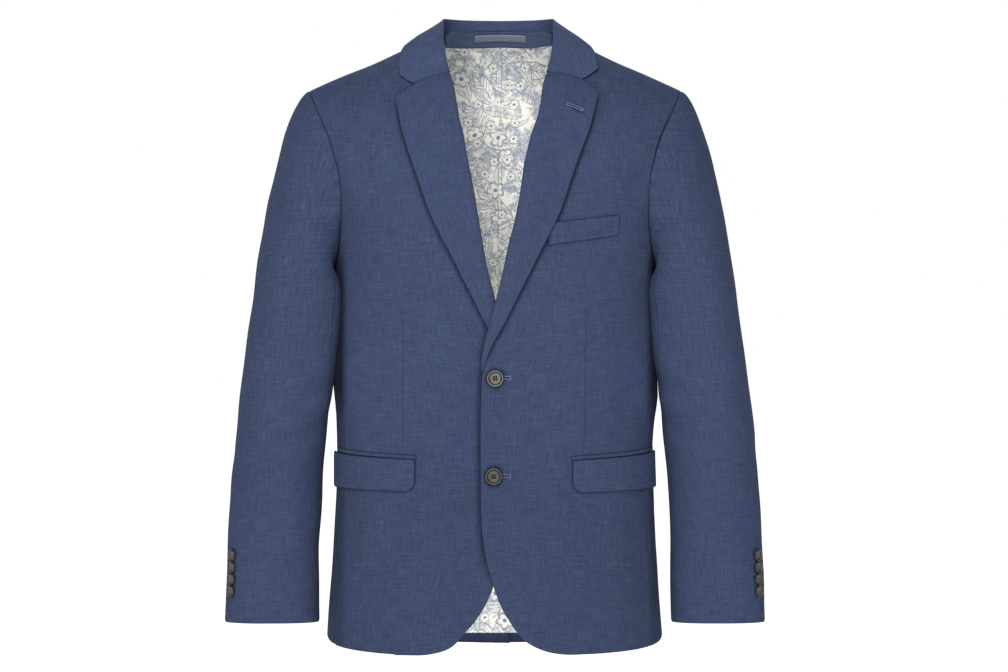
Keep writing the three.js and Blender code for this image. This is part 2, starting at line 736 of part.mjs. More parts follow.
// Point of a sleeve section; 0 is its front, 90 its outer edge
function sleevePoint(angle, height) {
  const outer = read(SLEEVE, 'height', 'outer', height);
  const inner = read(SLEEVE, 'height', 'inner', height);
  const front = read(SLEEVE, 'height', 'front', height);
  const back = read(SLEEVE, 'height', 'back', height);
  const s = Math.sin(angle * degrees);
  const c = Math.cos(angle * degrees);
  const sum = Math.pow(Math.abs(s), SLEEVE_POWER) + Math.pow(Math.abs(c), SLEEVE_POWER);
  const reach = Math.pow(sum, -1 / SLEEVE_POWER);
  const depth = (front + back) / 2 - ((back - front) / 2) * c * reach;
  const plain = (outer + inner) / 2 + ((outer - inner) / 2) * s * reach;
  const least = bodyReach(depth, height) + SLEEVE_BODY_GAP;
  const over = least - plain;
  const out = over > -8 ? Math.max(plain, least) + 0.03 * Math.pow(Math.max(0, 8 - Math.abs(over)), 2) : plain;
  return new THREE.Vector3(out, depth, height);
}

// The whole armhole as one ring, with the normals of the body form
function armholeRing() {
  const loop = [...ARMHOLE_FRONT, ...ARMHOLE_UNDER.slice(1), ...ARMHOLE_BACK.slice(1, -1)];
  return loop.map((spot, k) => {
    const top = k === 0 ? shoulderSeam(78, 223, 1, 'front')[1] : spot;
    return { point: formPoint(top.angle, top.height), normal: formNormal(top.angle, top.height) };
  });
}

// Sleeve as rings of points, from the armhole to the cuff
function sleeveRings() {
  const hole = armholeRing();
  const count = hole.length;
  const steps = hole.map((spot, k) => spot.point.distanceTo(hole[(k + 1) % count].point));
  const total = steps.reduce((sum, step) => sum + step, 0);
  let along = 0;
  const angles = steps.map((step) => {
    const angle = 90 - (360 * along) / total;
    along += step;
    return angle;
  });
  const centre = hole.reduce((sum, spot) => sum.add(spot.point), new THREE.Vector3()).divideScalar(count);
  const high = hole[0].point.z;
  const low = Math.min(...hole.map((spot) => spot.point.z));
  const starts = hole.map((spot) => {
    const away = spot.point.clone().sub(centre);
    const under = 1 - smooth(spot.point.z, low, low + 70);
    const point = spot.point.clone();
    point.x += 0.45 + 3.4 * under;
    point.z -= 0.3 * (1 - under) * Math.sign(away.z) * -1;
    return point;
  });
  const rings = [];
  for (let i = 0; i <= CAP_RINGS; i += 1) {
    const t = Math.pow(i / CAP_RINGS, 1.25);
    rings.push(starts.map((start, k) => {
      const share = (start.z - low) / (high - low);
      const end = sleevePoint(angles[k], -306);
      const lift = 12 + 83 * share;
      const tilt = (0.42 * (start.y - centre.y)) / 85;
      const out = new THREE.Vector3(0.95 * lift, tilt * lift, -(10 + 30 * share));
      const down = new THREE.Vector3(30 * share + 2, 0, -(start.z + 306) * 1.03 - 3);
      const a = 2 * t ** 3 - 3 * t ** 2 + 1;
      const b = t ** 3 - 2 * t ** 2 + t;
      const c = -2 * t ** 3 + 3 * t ** 2;
      const d = t ** 3 - t ** 2;
      const point = start.clone().multiplyScalar(a).addScaledVector(out, b);
      return point.addScaledVector(end, c).addScaledVector(down, d);
    }));
  }
  for (let i = 1; i <= ARM_RINGS; i += 1) {
    const t = i / ARM_RINGS;
    const height = -306 - (691 - 306) * t;
    const twist = SLEEVE_TWIST * smooth(t, 0, 1);
    rings.push(angles.map((angle) => sleevePoint(angle - twist, height)));
  }
  return { rings, hole };
}

// Outward normals of the ring grid; the first ring takes the body's own
function ringNormals(rings, hole) {
  const count = rings[0].length;
  const last = rings.length - 1;
  return rings.map((ring, i) => ring.map((point, k) => {
    if (i === 0) return hole[k].normal.clone();
    const down = rings[Math.min(last, i + 1)][k].clone().sub(rings[i - 1][k]);
    const round = ring[(k + 1) % count].clone().sub(ring[(k + count - 1) % count]);
    return down.cross(round).normalize().multiplyScalar(-1);
  }));
}

// One strip of the sleeve between two of its seams
function addSleeveStrip(name, side, from, to) {
  const { rings, hole } = sleeveRings();
  const normals = ringNormals(rings, hole);
  const count = rings[0].length;
  const walls = rings.map((ring, i) => {
    const row = [];
    for (let k = from; k <= to; k += 1) {
      const index = (k + count) % count;
      const point = settle(ring[index], side);
      row.push({ point, normal: flipNormal(normals[i][index], side) });
    }
    return row;
  });
  addPiece(name, wallGeometry(pullIn(walls, SEAM_GAP), CLOTH), clothLook);
}

// Four-cornered piece on the front, from its inner end to its outer end
function addOnFront(name, side, box, lift, thick, columns, rows) {
  const walls = countOut(rows, (v) => countOut(columns, (u) => {
    const top = box.topIn + (box.topOut - box.topIn) * u;
    const low = box.lowIn + (box.lowOut - box.lowIn) * u;
    const height = top + (low - top) * v;
    const from = angleAt(box.inner, height);
    const to = angleAt(box.outer, height);
    return place(from + (to - from) * u, height, lift, side);
  }));
  addPiece(name, wallGeometry(walls, thick), clothLook);
}

function addJet(name, side, flap) {
  const box = {
    inner: flap.inner - 1.5,
    outer: flap.outer - 4,
    topIn: flap.topIn + JET_HEIGHT + 0.6,
    topOut: flap.topOut + JET_HEIGHT + 0.6,
    lowIn: flap.topIn + 0.6,
    lowOut: flap.topOut + 0.6,
  };
  addOnFront(name, side, box, JET_LIFT, 1.4, 9, 1);
}

// Turned button: flat back, rounded rim and a dished middle
function addButton(name, spot, sizes, segments) {
  const radius = sizes.diameter / 2;
  const profile = [
    [0, 0], [radius * 0.86, 0], [radius, sizes.thick * 0.4], [radius * 0.97, sizes.thick * 0.8],
    [radius * 0.82, sizes.thick], [radius - sizes.rim, sizes.thick * 0.86],
    [radius * 0.42, sizes.thick * 0.62], [0, sizes.thick * 0.56],
  ].map(([x, y]) => new THREE.Vector2(x, y));
  const turned = new THREE.LatheGeometry(profile, segments);
  const piece = addPiece(name, turned, buttonLook);
  piece.quaternion.setFromUnitVectors(new THREE.Vector3(0, 1, 0), spot.normal);
  piece.position.copy(spot.point);
}

function addCuffButtons(name, side) {
  for (let k = 0; k < CUFF_BUTTON_COUNT; k += 1) {
    const height = CUFF_BUTTON_FIRST - CUFF_BUTTON_STEP * k;
    const here = sleevePoint(CUFF_BUTTON_ANGLE, height);
    const round = sleevePoint(CUFF_BUTTON_ANGLE + 3, height).sub(sleevePoint(CUFF_BUTTON_ANGLE - 3, height));
    const normal = new THREE.Vector3(round.y * -1, round.x, 0).normalize();
    if (normal.y > 0) normal.multiplyScalar(-1);
    const point = here.addScaledVector(normal, 0.55);
    const spot = { point: settle(point, side), normal: flipNormal(normal, side) };
    addButton(`${name}_${k + 1}`, spot, CUFF_BUTTON, 12);
  }
}

addFront('front_left', 1, FRONT_EDGE_OVER, CORNER_OVER, false);
addFront('front_right', -1, FRONT_EDGE_UNDER, CORNER_UNDER, true);
addSidePanel('side_left', 1);
addSidePanel('side_right', -1);
addBack('back_left', 1, false);
addBack('back_right', -1, true);
addBackLining('back_lining_left', 1);
addBackLining('back_lining_right', -1);
addBackNeckFacing();
addHangerLoop();
addLapel('lapel_left', 1, false);
addLapel('lapel_right', -1, true);
addCollar();
addSleeveStrip('upper_sleeve_left', 1, BACK_SLEEVE_SEAM - 24, FRONT_SLEEVE_SEAM);
addSleeveStrip('under_sleeve_left', 1, FRONT_SLEEVE_SEAM, BACK_SLEEVE_SEAM);
addSleeveStrip('upper_sleeve_right', -1, BACK_SLEEVE_SEAM - 24, FRONT_SLEEVE_SEAM);
addSleeveStrip('under_sleeve_right', -1, FRONT_SLEEVE_SEAM, BACK_SLEEVE_SEAM);
addOnFront('flap_left', 1, FLAP_LEFT, FLAP_LIFT, 1.9, 9, 3);
addOnFront('flap_right', -1, FLAP_RIGHT, FLAP_LIFT, 1.9, 9, 3);
addJet('jet_left', 1, FLAP_LEFT);
addJet('jet_right', -1, FLAP_RIGHT);
addOnFront('chest_welt', 1, WELT, WELT_LIFT, 1.5, 6, 1);
FRONT_BUTTON_SPOTS.forEach((row, k) => {
  const angle = angleAt(row.out, row.height);
  addButton(`front_button_${k + 1}`, place(angle, row.height, 0.5, 1), FRONT_BUTTON, 18);
});
addCuffButtons('cuff_button_left', 1);
addCuffButtons('cuff_button_right', -1);

export default blazer;
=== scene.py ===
# Blazer, worn and hollow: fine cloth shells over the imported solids, buttons, stitching, light and camera
import math

import bpy
import numpy as np
from mathutils import Matrix, Vector


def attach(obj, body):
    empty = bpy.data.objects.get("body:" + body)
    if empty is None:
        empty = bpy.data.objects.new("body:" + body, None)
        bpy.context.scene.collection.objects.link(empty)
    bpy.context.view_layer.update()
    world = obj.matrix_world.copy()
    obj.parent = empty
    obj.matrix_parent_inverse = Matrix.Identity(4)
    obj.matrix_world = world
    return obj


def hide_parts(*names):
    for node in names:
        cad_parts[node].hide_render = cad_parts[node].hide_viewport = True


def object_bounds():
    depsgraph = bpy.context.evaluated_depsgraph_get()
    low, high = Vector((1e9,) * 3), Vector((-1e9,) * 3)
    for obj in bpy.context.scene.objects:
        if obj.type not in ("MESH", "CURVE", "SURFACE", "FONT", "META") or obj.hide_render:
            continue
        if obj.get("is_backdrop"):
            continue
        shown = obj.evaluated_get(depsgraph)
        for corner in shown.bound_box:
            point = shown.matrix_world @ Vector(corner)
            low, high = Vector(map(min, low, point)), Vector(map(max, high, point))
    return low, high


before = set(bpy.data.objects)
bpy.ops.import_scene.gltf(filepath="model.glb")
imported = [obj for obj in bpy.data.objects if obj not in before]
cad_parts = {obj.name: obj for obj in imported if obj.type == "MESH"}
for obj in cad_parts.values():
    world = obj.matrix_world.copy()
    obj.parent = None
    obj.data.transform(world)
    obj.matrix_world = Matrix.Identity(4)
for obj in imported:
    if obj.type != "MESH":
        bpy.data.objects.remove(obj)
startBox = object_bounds()
mm = 0.001



def addObject(name, data):
    made = bpy.data.objects.new(name, data)
    bpy.context.scene.collection.objects.link(made)
    return made


# The photograph's view: level, four metres away
viewSet = dict(place=(0.0108, -4.0, -0.3492), lens=119.05, sensor=36.0)
camData = bpy.data.cameras.new("camera")
camData.lens = viewSet["lens"]
camData.sensor_width = viewSet["sensor"]
camera = addObject("camera", camData)
camera.location = viewSet["place"]
camera.rotation_euler = (math.pi / 2, 0, 0)
bpy.context.scene.camera = camera
print("stage: camera")

# Tables of the form, in millimetres; a row per height or distance
sectionPower = 2.3
widest, rollEnd, sleeveStart = 262, -385, -306
sideTop, sideBackTop, frontHem, backHem = -248, -244, -713, -717
bodyRows = [  # height, half width, front, back, side
    (60, 262, -66, 106, 0), (0, 262, -84, 107, 1), (-60, 261, -101, 111, 3), (-120, 239, -115, 114, 3),
    (-180, 213, -123, 114, 2), (-230, 199, -126, 111, 0), (-285, 191, -124, 104, -4), (-360, 190, -118, 93, -9),
    (-430, 190, -115, 86, -13), (-480, 189.5, -116, 89, -13), (-540, 192, -119, 96, -12),
    (-620, 196, -125, 104, -10), (-700, 201, -130, 110, -9), (-760, 205, -133, 113, -8)]
shoulderRows = [  # distance out, height, depth
    (0, 36, 45), (40, 29, 33), (66, 15, 14), (78, 7, 2), (108, -4, 0), (122, -11, 0), (151, -24.5, 0),
    (180, -36.5, 0), (209, -49, 0), (226, -57, 0), (262, -76, 0)]
shoulderTurn = dict(front=110, back=92)
neckShift = 4.6
armholeFront = [(55.0, -56), (54.2, -60), (53.2, -72), (52.0, -92), (51.2, -116), (51.6, -140), (53.4, -166),
                (57.2, -196), (62.4, -225), (68.0, -248)]
armholeUnder = [(68.0, -248), (76.0, -267), (85.0, -280), (94.0, -284), (103.0, -279), (111.0, -265), (118.0, -244)]
armholeBack = [(118.0, -244), (123.5, -217), (127.0, -187), (129.0, -158), (129.6, -130), (129.2, -104),
               (128.4, -84), (127.2, -69), (126.0, -60), (125.0, -56)]
sideFrontSeam = [(-248, 68), (-430, 67), (-713, 67)]
sideBackSeam = [(-244, 118), (-430, 122), (-717, 122)]
hemRows = [(-10, -719), (30, -719.5), (50, -717), (67, -713), (90, -707), (122, -717), (150, -724), (190, -727)]
neckAndRoll = [(7, 78), (0, 77), (-10, 73.5), (-22, 68.5), (-38, 60.5), (-60, 54.5), (-78, 51), (-96, 47),
               (-114, 41.5), (-132, 38), (-167, 31), (-202, 24.5), (-237, 18), (-272, 11), (-309, 1.5),
               (-335, -4.5), (-362, -10.5), (-385, -14)]
edgeOver = [(-385, -14), (-420, -16), (-513, -16.5), (-575, -14.8), (-614, -9), (-638, -2), (-667, 9), (-687, 21)]
cornerOver = [(21, -687), (34, -702), (54, -713.5), (77, -719), (115, -719.5)]
edgeUnder = [(-385, -14), (-420, -16), (-513, -16), (-565, -13), (-610, -5), (-651, 5.5), (-676, 19.5), (-685, 26)]
cornerUnder = [(26, -685), (35, -694), (49, -709.5), (72, -718.5), (115, -721)]
lapelFold = [(-41.4, 58.8), (-60, 53), (-78, 49.3), (-96, 45.4), (-114, 39.8), (-132, 36.3), (-167, 29.2),
             (-202, 22.8), (-237, 16.4), (-272, 9.4), (-309, 0), (-335, -6), (-362, -11.8), (-378, -14), (-390, -14.6)]
lapelEdge = [(-61, 119.5), (-85, 114.5), (-109, 109), (-132, 101), (-155, 93), (-209, 74), (-257, 50.2),
             (-312, 23.2), (-345, 6), (-359, -2.2), (-372, -7.6), (-383, -11), (-393, -13.8)]


# Smooth reading of a table, the same way at every row
def reader(keys, values):
    order = np.argsort(keys)
    k = np.array(keys, float)[order]
    v = np.array(values, float)[order]
    slope = np.diff(v) / np.diff(k)
    tangent = np.concatenate([[slope[0]], (slope[1:] + slope[:-1]) / 2, [slope[-1]]])

    def at(x):
        x = np.asarray(x, float)
        i = np.clip(np.searchsorted(k, x, side="right") - 1, 0, len(k) - 2)
        span = k[i + 1] - k[i]
        t = np.clip((x - k[i]) / span, 0, 1)
        blend = t * t * (3 - 2 * t)
        bend = (t - 1) ** 2 * t * tangent[i] * span + (t - 1) * t * t * tangent[i + 1] * span
        return v[i] * (1 - blend) + v[i + 1] * blend + bend
    return at


def column(rows, key, value):
    return reader([row[key] for row in rows], [row[value] for row in rows])


halfAt, frontAt, backAt, sideAt = (column(bodyRows, 0, n) for n in (1, 2, 3, 4))
shoulderTop, shoulderDepth = column(shoulderRows, 0, 1), column(shoulderRows, 0, 2)
sideFrontAt, sideBackAt, hemAt = column(sideFrontSeam, 0, 1), column(sideBackSeam, 0, 1), column(hemRows, 0, 1)
rollAt, edgeOverAt, edgeUnderAt = column(neckAndRoll, 0, 1), column(edgeOver, 0, 1), column(edgeUnder, 0, 1)
cornerOverAt, cornerUnderAt = column(cornerOver, 0, 1), column(cornerUnder, 0, 1)
foldAt, lapelEdgeAt = column(lapelFold, 0, 1), column(lapelEdge, 0, 1)


def smooth(value, low, high):
    t = np.clip((np.asarray(value, float) - low) / (high - low), 0, 1)
    return t * t * (3 - 2 * t)


# Angle round the body where the form lies this far out
def angleAt(out, height):
    part = np.minimum(0.999, np.abs(out) / halfAt(height))
    rest = (1 - part ** sectionPower) ** (1 / sectionPower)
    return np.degrees(np.sign(out) * np.arctan2(part, rest))


# Spots (angle, height) this far out, on the front or behind
def spotsAt(out, height, behind=False):
    angle = angleAt(out, height)
    return np.stack([180 - angle if behind else angle, height], -1)


def formPoint(angle, height):
    height = np.asarray(height, float)
    s, c = np.sin(np.radians(angle)), np.cos(np.radians(angle))
    reach = (np.abs(s) ** sectionPower + np.abs(c) ** sectionPower) ** (-1 / sectionPower)
    out = halfAt(height) * s * reach
    side = sideAt(height)
    full = np.where(c > 0, frontAt(height), backAt(height))
    depth = side + (full - side) * np.abs(c) * reach
    away = np.minimum(widest, np.abs(out))
    ridge = shoulderDepth(away)
    turn = np.where(c > 0, shoulderTurn["front"], shoulderTurn["back"])
    t = np.clip((shoulderTop(away) - height) / turn, 0, 1)
    share = np.sqrt(np.maximum(0, 1 - (1 - t) ** 2))
    return np.stack([out, ridge + (depth - ridge) * share, height + 0 * out], -1)


def unit(v):
    return v / np.maximum(1e-9, np.linalg.norm(v, axis=-1, keepdims=True))


def formNormal(angle, height):
    down = formPoint(angle, height) - formPoint(angle, height - 0.8)
    across = formPoint(angle + 0.4, height - 0.4) - formPoint(angle - 0.4, height - 0.4)
    return unit(np.cross(across, down))


def settle(points, side):
    shift = neckShift * smooth(points[..., 2], -150, -20) * np.maximum(0, 1 - (points[..., 0] / 200) ** 2)
    moved = points * np.array([side, 1, 1])
    moved[..., 0] += shift
    return moved


def flip(normals, side):
    return normals * np.array([side, 1, 1])


# Curve through table rows, read at fractional rows
def alongRows(rows, cellsEach):
    rows = np.array(rows, float)
    at = np.linspace(0, len(rows) - 1, (len(rows) - 1) * cellsEach + 1)
    index = np.arange(len(rows))
    return np.stack([reader(index, rows[:, n])(at) for n in range(rows.shape[1])], -1)


# Coons patch of (angle, height) between four edges
def patch(inner, outer, top, bottom):
    v = ((inner[0, 1] - inner[:, 1]) / (inner[0, 1] - inner[-1, 1]))[:, None, None]
    u = np.linspace(0, 1, len(top))[None, :, None]
    across = inner[:, None] * (1 - u) + outer[:, None] * u
    down = top[None] * (1 - v) + bottom[None] * v
    corners = (top[0] * (1 - u) + top[-1] * u) * (1 - v) + (bottom[0] * (1 - u) + bottom[-1] * u) * v
    return across + down - corners


print("stage: form")


# Soft creases in the cloth, as (x, z) from, (x, z) to, width, depth; minus is a ridge
frontCreases = [
    ((-150, -285), (-62, -322), 11, 1.6), ((-146, -262), (-70, -296), 9, -1.0),
    ((-165, -350), (-20, -392), 13, 1.7), ((-150, -372), (-24, -402), 9, -1.1),
    ((-160, -430), (-14, -404), 12, 1.2), ((165, -352), (26, -392), 13, 1.6),
    ((152, -330), (40, -372), 10, -1.0), ((160, -432), (20, -405), 12, 1.3),
    ((-60, -545), (-92, -705), 14, 1.1), ((-30, -540), (-52, -690), 11, -0.9),
    ((58, -548), (86, -706), 14, 1.1), ((118, -550), (138, -705), 15, -1.0),
    ((-130, -548), (-150, -702), 15, 1.0), ((104, -268), (112, -470), 9, 0.9),
    ((-108, -268), (-106, -470), 9, 0.9), ((-196, -92), (-148, -196), 13, 1.7),
    ((-186, -120), (-162, -222), 10, -1.3), ((196, -92), (150, -196), 13, 1.7),
    ((187, -120), (163, -224), 10, -1.3), ((-150, -60), (-132, -128), 14, -1.0),
    ((152, -58), (136, -130), 14, -1.0), ((-20, -470), (-88, -520), 12, 1.0), ((20, -470), (84, -522), 12, 1.0),
]
backCreases = [
    ((-150, -130), (-95, -228), 16, 1.9), ((152, -128), (98, -226), 16, 1.9),
    ((-128, -92), (-70, -138), 14, -1.2), ((126, -94), (68, -140), 14, -1.2),
    ((-120, -372), (118, -384), 15, 1.7), ((-96, -404), (92, -398), 12, -1.2),
    ((-150, -338), (-40, -360), 13, 1.2), ((150, -340), (44, -362), 13, 1.2),
    ((-62, -520), (-74, -716), 15, 1.4), ((66, -522), (80, -716), 15, 1.4), ((-8, -470), (14, -700), 10, 0.8),
    ((-60, -22), (60, -22), 12, 0.9),
]


# One crease: t runs along it, d across it in widths; soft shoulders on both sides
def creaseProfile(t, d, depth):
    fade = np.sin(np.pi * np.clip(t * 0.9 + 0.05, 0, 1)) ** 0.8 * (t > -0.05) * (t < 1.05)
    return depth * fade * (np.exp(-d * d) - 0.4 * np.exp(-(np.abs(d) - 1.7) ** 2))


# How far the cloth moves along its normal at (x, z) because of the creases
def creaseHeight(x, z, creases):
    total = np.zeros_like(x)
    for start, end, width, depth in creases:
        along = np.array(end, float) - np.array(start, float)
        size = np.linalg.norm(along)
        along /= size
        px, pz = x - start[0], z - start[1]
        t = (px * along[0] + pz * along[1]) / size
        bend = 0.06 * size * np.sin(np.pi * np.clip(t, 0, 1))
        total -= creaseProfile(t, (-px * along[1] + pz * along[0] - bend) / width, depth)
    return total


# Slow unevenness of pressed cloth, from a few crossed waves
def unevenness(x, z, size, seed):
    rng = np.random.default_rng(seed)
    total = np.zeros_like(x)
    for _ in range(7):
        turn, length, phase = rng.uniform(0, math.pi), rng.uniform(55, 150), rng.uniform(0, 2 * math.pi)
        total += np.sin((x * math.cos(turn) + z * math.sin(turn)) * 2 * math.pi / length + phase)
    return total * size / 7 * 1.6


def clothRelief(points):
    x, z = points[..., 0], points[..., 2]
    front = points[..., 1] < shoulderDepth(np.minimum(widest, np.abs(x))) - 2
    reliefFront = creaseHeight(x, z, frontCreases) + unevenness(x, z, 0.9, 11)
    reliefBack = creaseHeight(x, z, backCreases) + unevenness(x, z, 1.0, 23)
    depth = np.clip((points[..., 1] + 45) / 90, 0, 1)
    blend = depth * depth * (3 - 2 * depth)
    return np.where(front, reliefFront, reliefBack) * np.abs(2 * blend - 1) ** 0.5


# The side of the body stands out a little under the sleeve
underArmOut = reader([0, 300, 340, 364, 392, 408, 420, 430, 445, 800], [0, 0, 1, 1.8, 3.2, 3.2, 2.2, 1.1, 0, 0])
frontButtonSpots = [(0.5, -398.5), (-1.3, -513)]  # out, height


# Painted shade, kept in the 'deep' attribute: under the arm, beside the lap, along the lapel edges, round the front
# buttons, and a little darker towards the hem
def paintedShadePlaces(points, spots, side, beside):
    x, z = points[..., 0], points[..., 2]
    across = np.abs(x) - 2.5 - 2.5 * side
    under = smooth(across, 172, 184) * smooth(-z, 215, 290) * (1 - 0.6 * smooth(-z, 405, 470))
    if spots is None:
        return under
    away = formPoint(spots[..., 0], spots[..., 1])[..., 0] - lapelEdgeAt(spots[..., 1])
    lapel = (1 - smooth(away, 0.8, 6.5)) * smooth(-spots[..., 1], 64, 90) * (1 - smooth(-spots[..., 1], 366, 384))
    under = np.maximum(np.maximum(under, 0.62 * lapel), 0.07 * smooth(-z, 390, 560))
    for out, height in frontButtonSpots if side > 0 else ():
        under = np.maximum(under, 0.5 * (1 - smooth(np.hypot(x - out, z - height), 10.6, 13.8)))
    if not beside:
        return under
    edge = np.where(z > rollEnd, rollAt(np.maximum(z, rollEnd)), edgeOverAt(np.minimum(z, rollEnd)))
    lap = smooth(x, edge - 9, edge - 1.5) * smooth(-z, 322, 352) * (1 - smooth(-z, 600, 650))
    return np.maximum(under, 0.55 * lap)


# A grid of spots on the form: lift outwards, cloth relief, side of the body
def formGrid(spots, lift, side, relief=1.0):
    angle, height = spots[..., 0], spots[..., 1]
    normals = formNormal(angle, height)
    points = formPoint(angle, height)
    swell = underArmOut(-height - 6 - 6 * side) * (1.15 + 0.15 * side)
    swell = swell * smooth(points[..., 0], 150, 178) * (1 - smooth(angle, 84, 112))
    placed = settle(points + normals * (lift + swell)[..., None], side)
    turned = flip(normals, side)
    return placed + turned * (clothRelief(placed) * relief)[..., None], turned


# Weave that runs level and upright on the body: arc round it and height
def bodyGrain(points):
    steps = np.linalg.norm(np.diff(points[..., :2], axis=1), axis=-1)
    across = np.concatenate([np.zeros((points.shape[0], 1)), np.cumsum(steps, 1)], 1)
    return np.stack([np.abs(points[:, :1, 0]) + across, points[..., 2]], -1)


# Distance along the grid from each of its borders, in millimetres
def borderDistance(points):
    rows = np.linalg.norm(np.diff(points, axis=0), axis=-1)
    columns = np.linalg.norm(np.diff(points, axis=1), axis=-1)
    down = np.concatenate([np.zeros((1, points.shape[1])), np.cumsum(rows, 0)])
    across = np.concatenate([np.zeros((points.shape[0], 1)), np.cumsum(columns, 1)], 1)
    return down, down[-1] - down, across, across[:, -1:] - across


# Pulls a grid's border inwards by the seam gap and turns its edge down softly
def seamEdges(points, normals, gap=-0.4, turn=(0.9, 0.9, 0.9, 0.9), reach=2.6):
    top, bottom, left, right = borderDistance(points)
    drop = np.zeros(points.shape[:2])
    for distance, size in zip((top, bottom, left, right), turn):
        drop += size * np.clip(1 - distance / reach, 0, 1) ** 2
    moved = points - normals * drop[..., None]
    moved[0] += unit(points[1] - points[0]) * gap
    moved[-1] += unit(points[-2] - points[-1]) * gap
    moved[:, 0] += unit(points[:, 1] - points[:, 0]) * gap
    moved[:, -1] += unit(points[:, -2] - points[:, -1]) * gap
    return moved


# Adds rows and columns close to the border, where the edge turns
def denseEdges(count, total, near=(0.5, 1.2, 2.2)):
    step = total / count
    inner = np.linspace(0, total, count + 1)
    low = [d for d in near if d < step * 0.8]
    marks = np.concatenate([[0], low, inner[1:-1], [total - d for d in reversed(low)], [total]])
    return marks / total


def resample(grid, rowMarks, columnMarks):
    def along(data, marks):
        index = np.array(marks) * (len(data) - 1)
        low = np.clip(index.astype(int), 0, len(data) - 2)
        part = (index - low).reshape(-1, *([1] * (data.ndim - 1)))
        return data[low] * (1 - part) + data[low + 1] * part
    first = along(grid, rowMarks)
    return np.swapaxes(along(np.swapaxes(first, 0, 1), columnMarks), 0, 1)


def floatLayer(mesh, name, values):
    mesh.attributes.new(name, "FLOAT", "POINT").data.foreach_set("value", values)


# Object from a mesh with this many faces, all smooth
def smoothObject(name, mesh, count):
    mesh.polygons.foreach_set("use_smooth", np.ones(count, dtype=bool))
    mesh.update()
    return addObject(name, mesh)


# Object from a grid shell: outer skin, inner skin and a closed rim; shade is painted shade, kept in the 'deep'
# attribute; 'rim' is the distance to the border, for painted edge shade, and plain keeps the top edge out of that shade
def shell(name, points, normals, thick, material, inside=None, grain=None, shade=None, plain=0):
    rows, columns = points.shape[:2]
    inner = points - normals * thick
    both = np.concatenate([points.reshape(-1, 3), inner.reshape(-1, 3)]) * mm
    number = np.arange(rows * columns).reshape(rows, columns)
    a, b, c, d = number[:-1, :-1], number[:-1, 1:], number[1:, 1:], number[1:, :-1]
    outerFaces = np.stack([a, b, c, d], -1).reshape(-1, 4)
    innerFaces = outerFaces[:, ::-1] + rows * columns
    border = np.concatenate([number[0, :-1], number[:-1, -1], number[-1, :0:-1], number[:0:-1, 0]])
    after = np.roll(border, -1)
    rim = np.stack([after, border, border + rows * columns, after + rows * columns], -1)
    faces = np.concatenate([outerFaces, innerFaces, rim])
    sides = np.cross(points[1:, :-1] - points[:-1, :-1], points[:-1, 1:] - points[:-1, :-1])
    if np.sum(sides * normals[:-1, :-1]) > 0:
        faces = faces[:, ::-1]
    mesh = bpy.data.meshes.new(name)
    mesh.from_pydata(both.tolist(), [], faces.tolist())
    top, bottom, left, right = borderDistance(points)
    uv = (np.stack([left, -top], -1) if grain is None else grain).reshape(-1, 2)
    uv = np.concatenate([uv, uv]) * mm
    layer = mesh.uv_layers.new(name="cloth")
    loops = np.empty(len(mesh.loops), dtype=np.int32)
    mesh.loops.foreach_get("vertex_index", loops)
    layer.data.foreach_set("uv", uv[loops].ravel())
    # Distance to the nearest border, kept as 'rim', for painted edge shade
    near = np.minimum(np.minimum(top + plain, bottom), np.minimum(left, right)).ravel()
    floatLayer(mesh, "rim", np.tile(near, 2))
    # 'deep' holds painted shade, zero where none is given
    floatLayer(mesh, "deep", np.zeros(2 * near.size) if shade is None else np.tile(shade.ravel(), 2))
    mesh.materials.append(material)
    if inside is not None:
        mesh.materials.append(inside)
        index = np.zeros(len(faces), dtype=np.int32)
        index[len(outerFaces):len(outerFaces) * 2] = 1
        mesh.polygons.foreach_set("material_index", index)
    return smoothObject(name, mesh, len(faces))


def rideRoot(piece):
    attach(piece, "root")


# Hides the imported part a finished cloth piece stands for and puts the piece on the root body
def finishSheet(piece, node):
    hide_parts(node)
    rideRoot(piece)


# Shader groups shared by the materials
def newGroup(name, inputs, outputs):
    tree = bpy.data.node_groups.new(name, "ShaderNodeTree")
    for label, kind, value in inputs:
        socket = tree.interface.new_socket(name=label, in_out="INPUT", socket_type=kind)
        socket.default_value = value
    for label, kind in outputs:
        tree.interface.new_socket(name=label, in_out="OUTPUT", socket_type=kind)
    return tree, tree.nodes.new("NodeGroupInput"), tree.nodes.new("NodeGroupOutput")


# A socket is linked to the input, any other value is set on it
def setInputs(tree, node, inputs):
    for label, value in dict(inputs).items():
        if isinstance(value, bpy.types.NodeSocket):
            tree.links.new(value, node.inputs[label])
        else:
            node.inputs[label].default_value = value


def addNode(tree, kind, inputs=(), **settings):
    node = tree.nodes.new(kind)
    for label, value in settings.items():
        setattr(node, label, value)
    setInputs(tree, node, inputs)
    return node


def mathNode(tree, operation, *values, clamp=False):
    return addNode(tree, "ShaderNodeMath", enumerate(values), operation=operation, use_clamp=clamp).outputs[0]


def times(tree, first, second):
    return mathNode(tree, "MULTIPLY", first, second)


def plus(tree, first, second):
    return mathNode(tree, "ADD", first, second)


def minus(tree, first, second):
    return mathNode(tree, "SUBTRACT", first, second)


def meshValue(tree, name):
    return addNode(tree, "ShaderNodeAttribute", attribute_name=name).outputs["Fac"]


def axes(tree, vector):
    return addNode(tree, "ShaderNodeSeparateXYZ", {0: vector}).outputs


def stretchedNoise(tree, vector, scale, detail=3.0, roughness=0.6, seed=0.0):
    place = {"Vector": vector, "Scale": (*scale, 1), "Location": (seed, seed * 1.7, seed * 0.3)}
    look = {"Vector": addNode(tree, "ShaderNodeMapping", place).outputs[0], "Scale": 1.0, "Detail": detail,
            "Roughness": roughness}
    return addNode(tree, "ShaderNodeTexNoise", look, noise_dimensions="3D").outputs["Fac"]


def mixColor(tree, factor, first, second, mode="MIX"):
    colors = {"Factor": factor, 6: first, 7: second}
    return addNode(tree, "ShaderNodeMix", colors, data_type="RGBA", blend_type=mode).outputs[2]


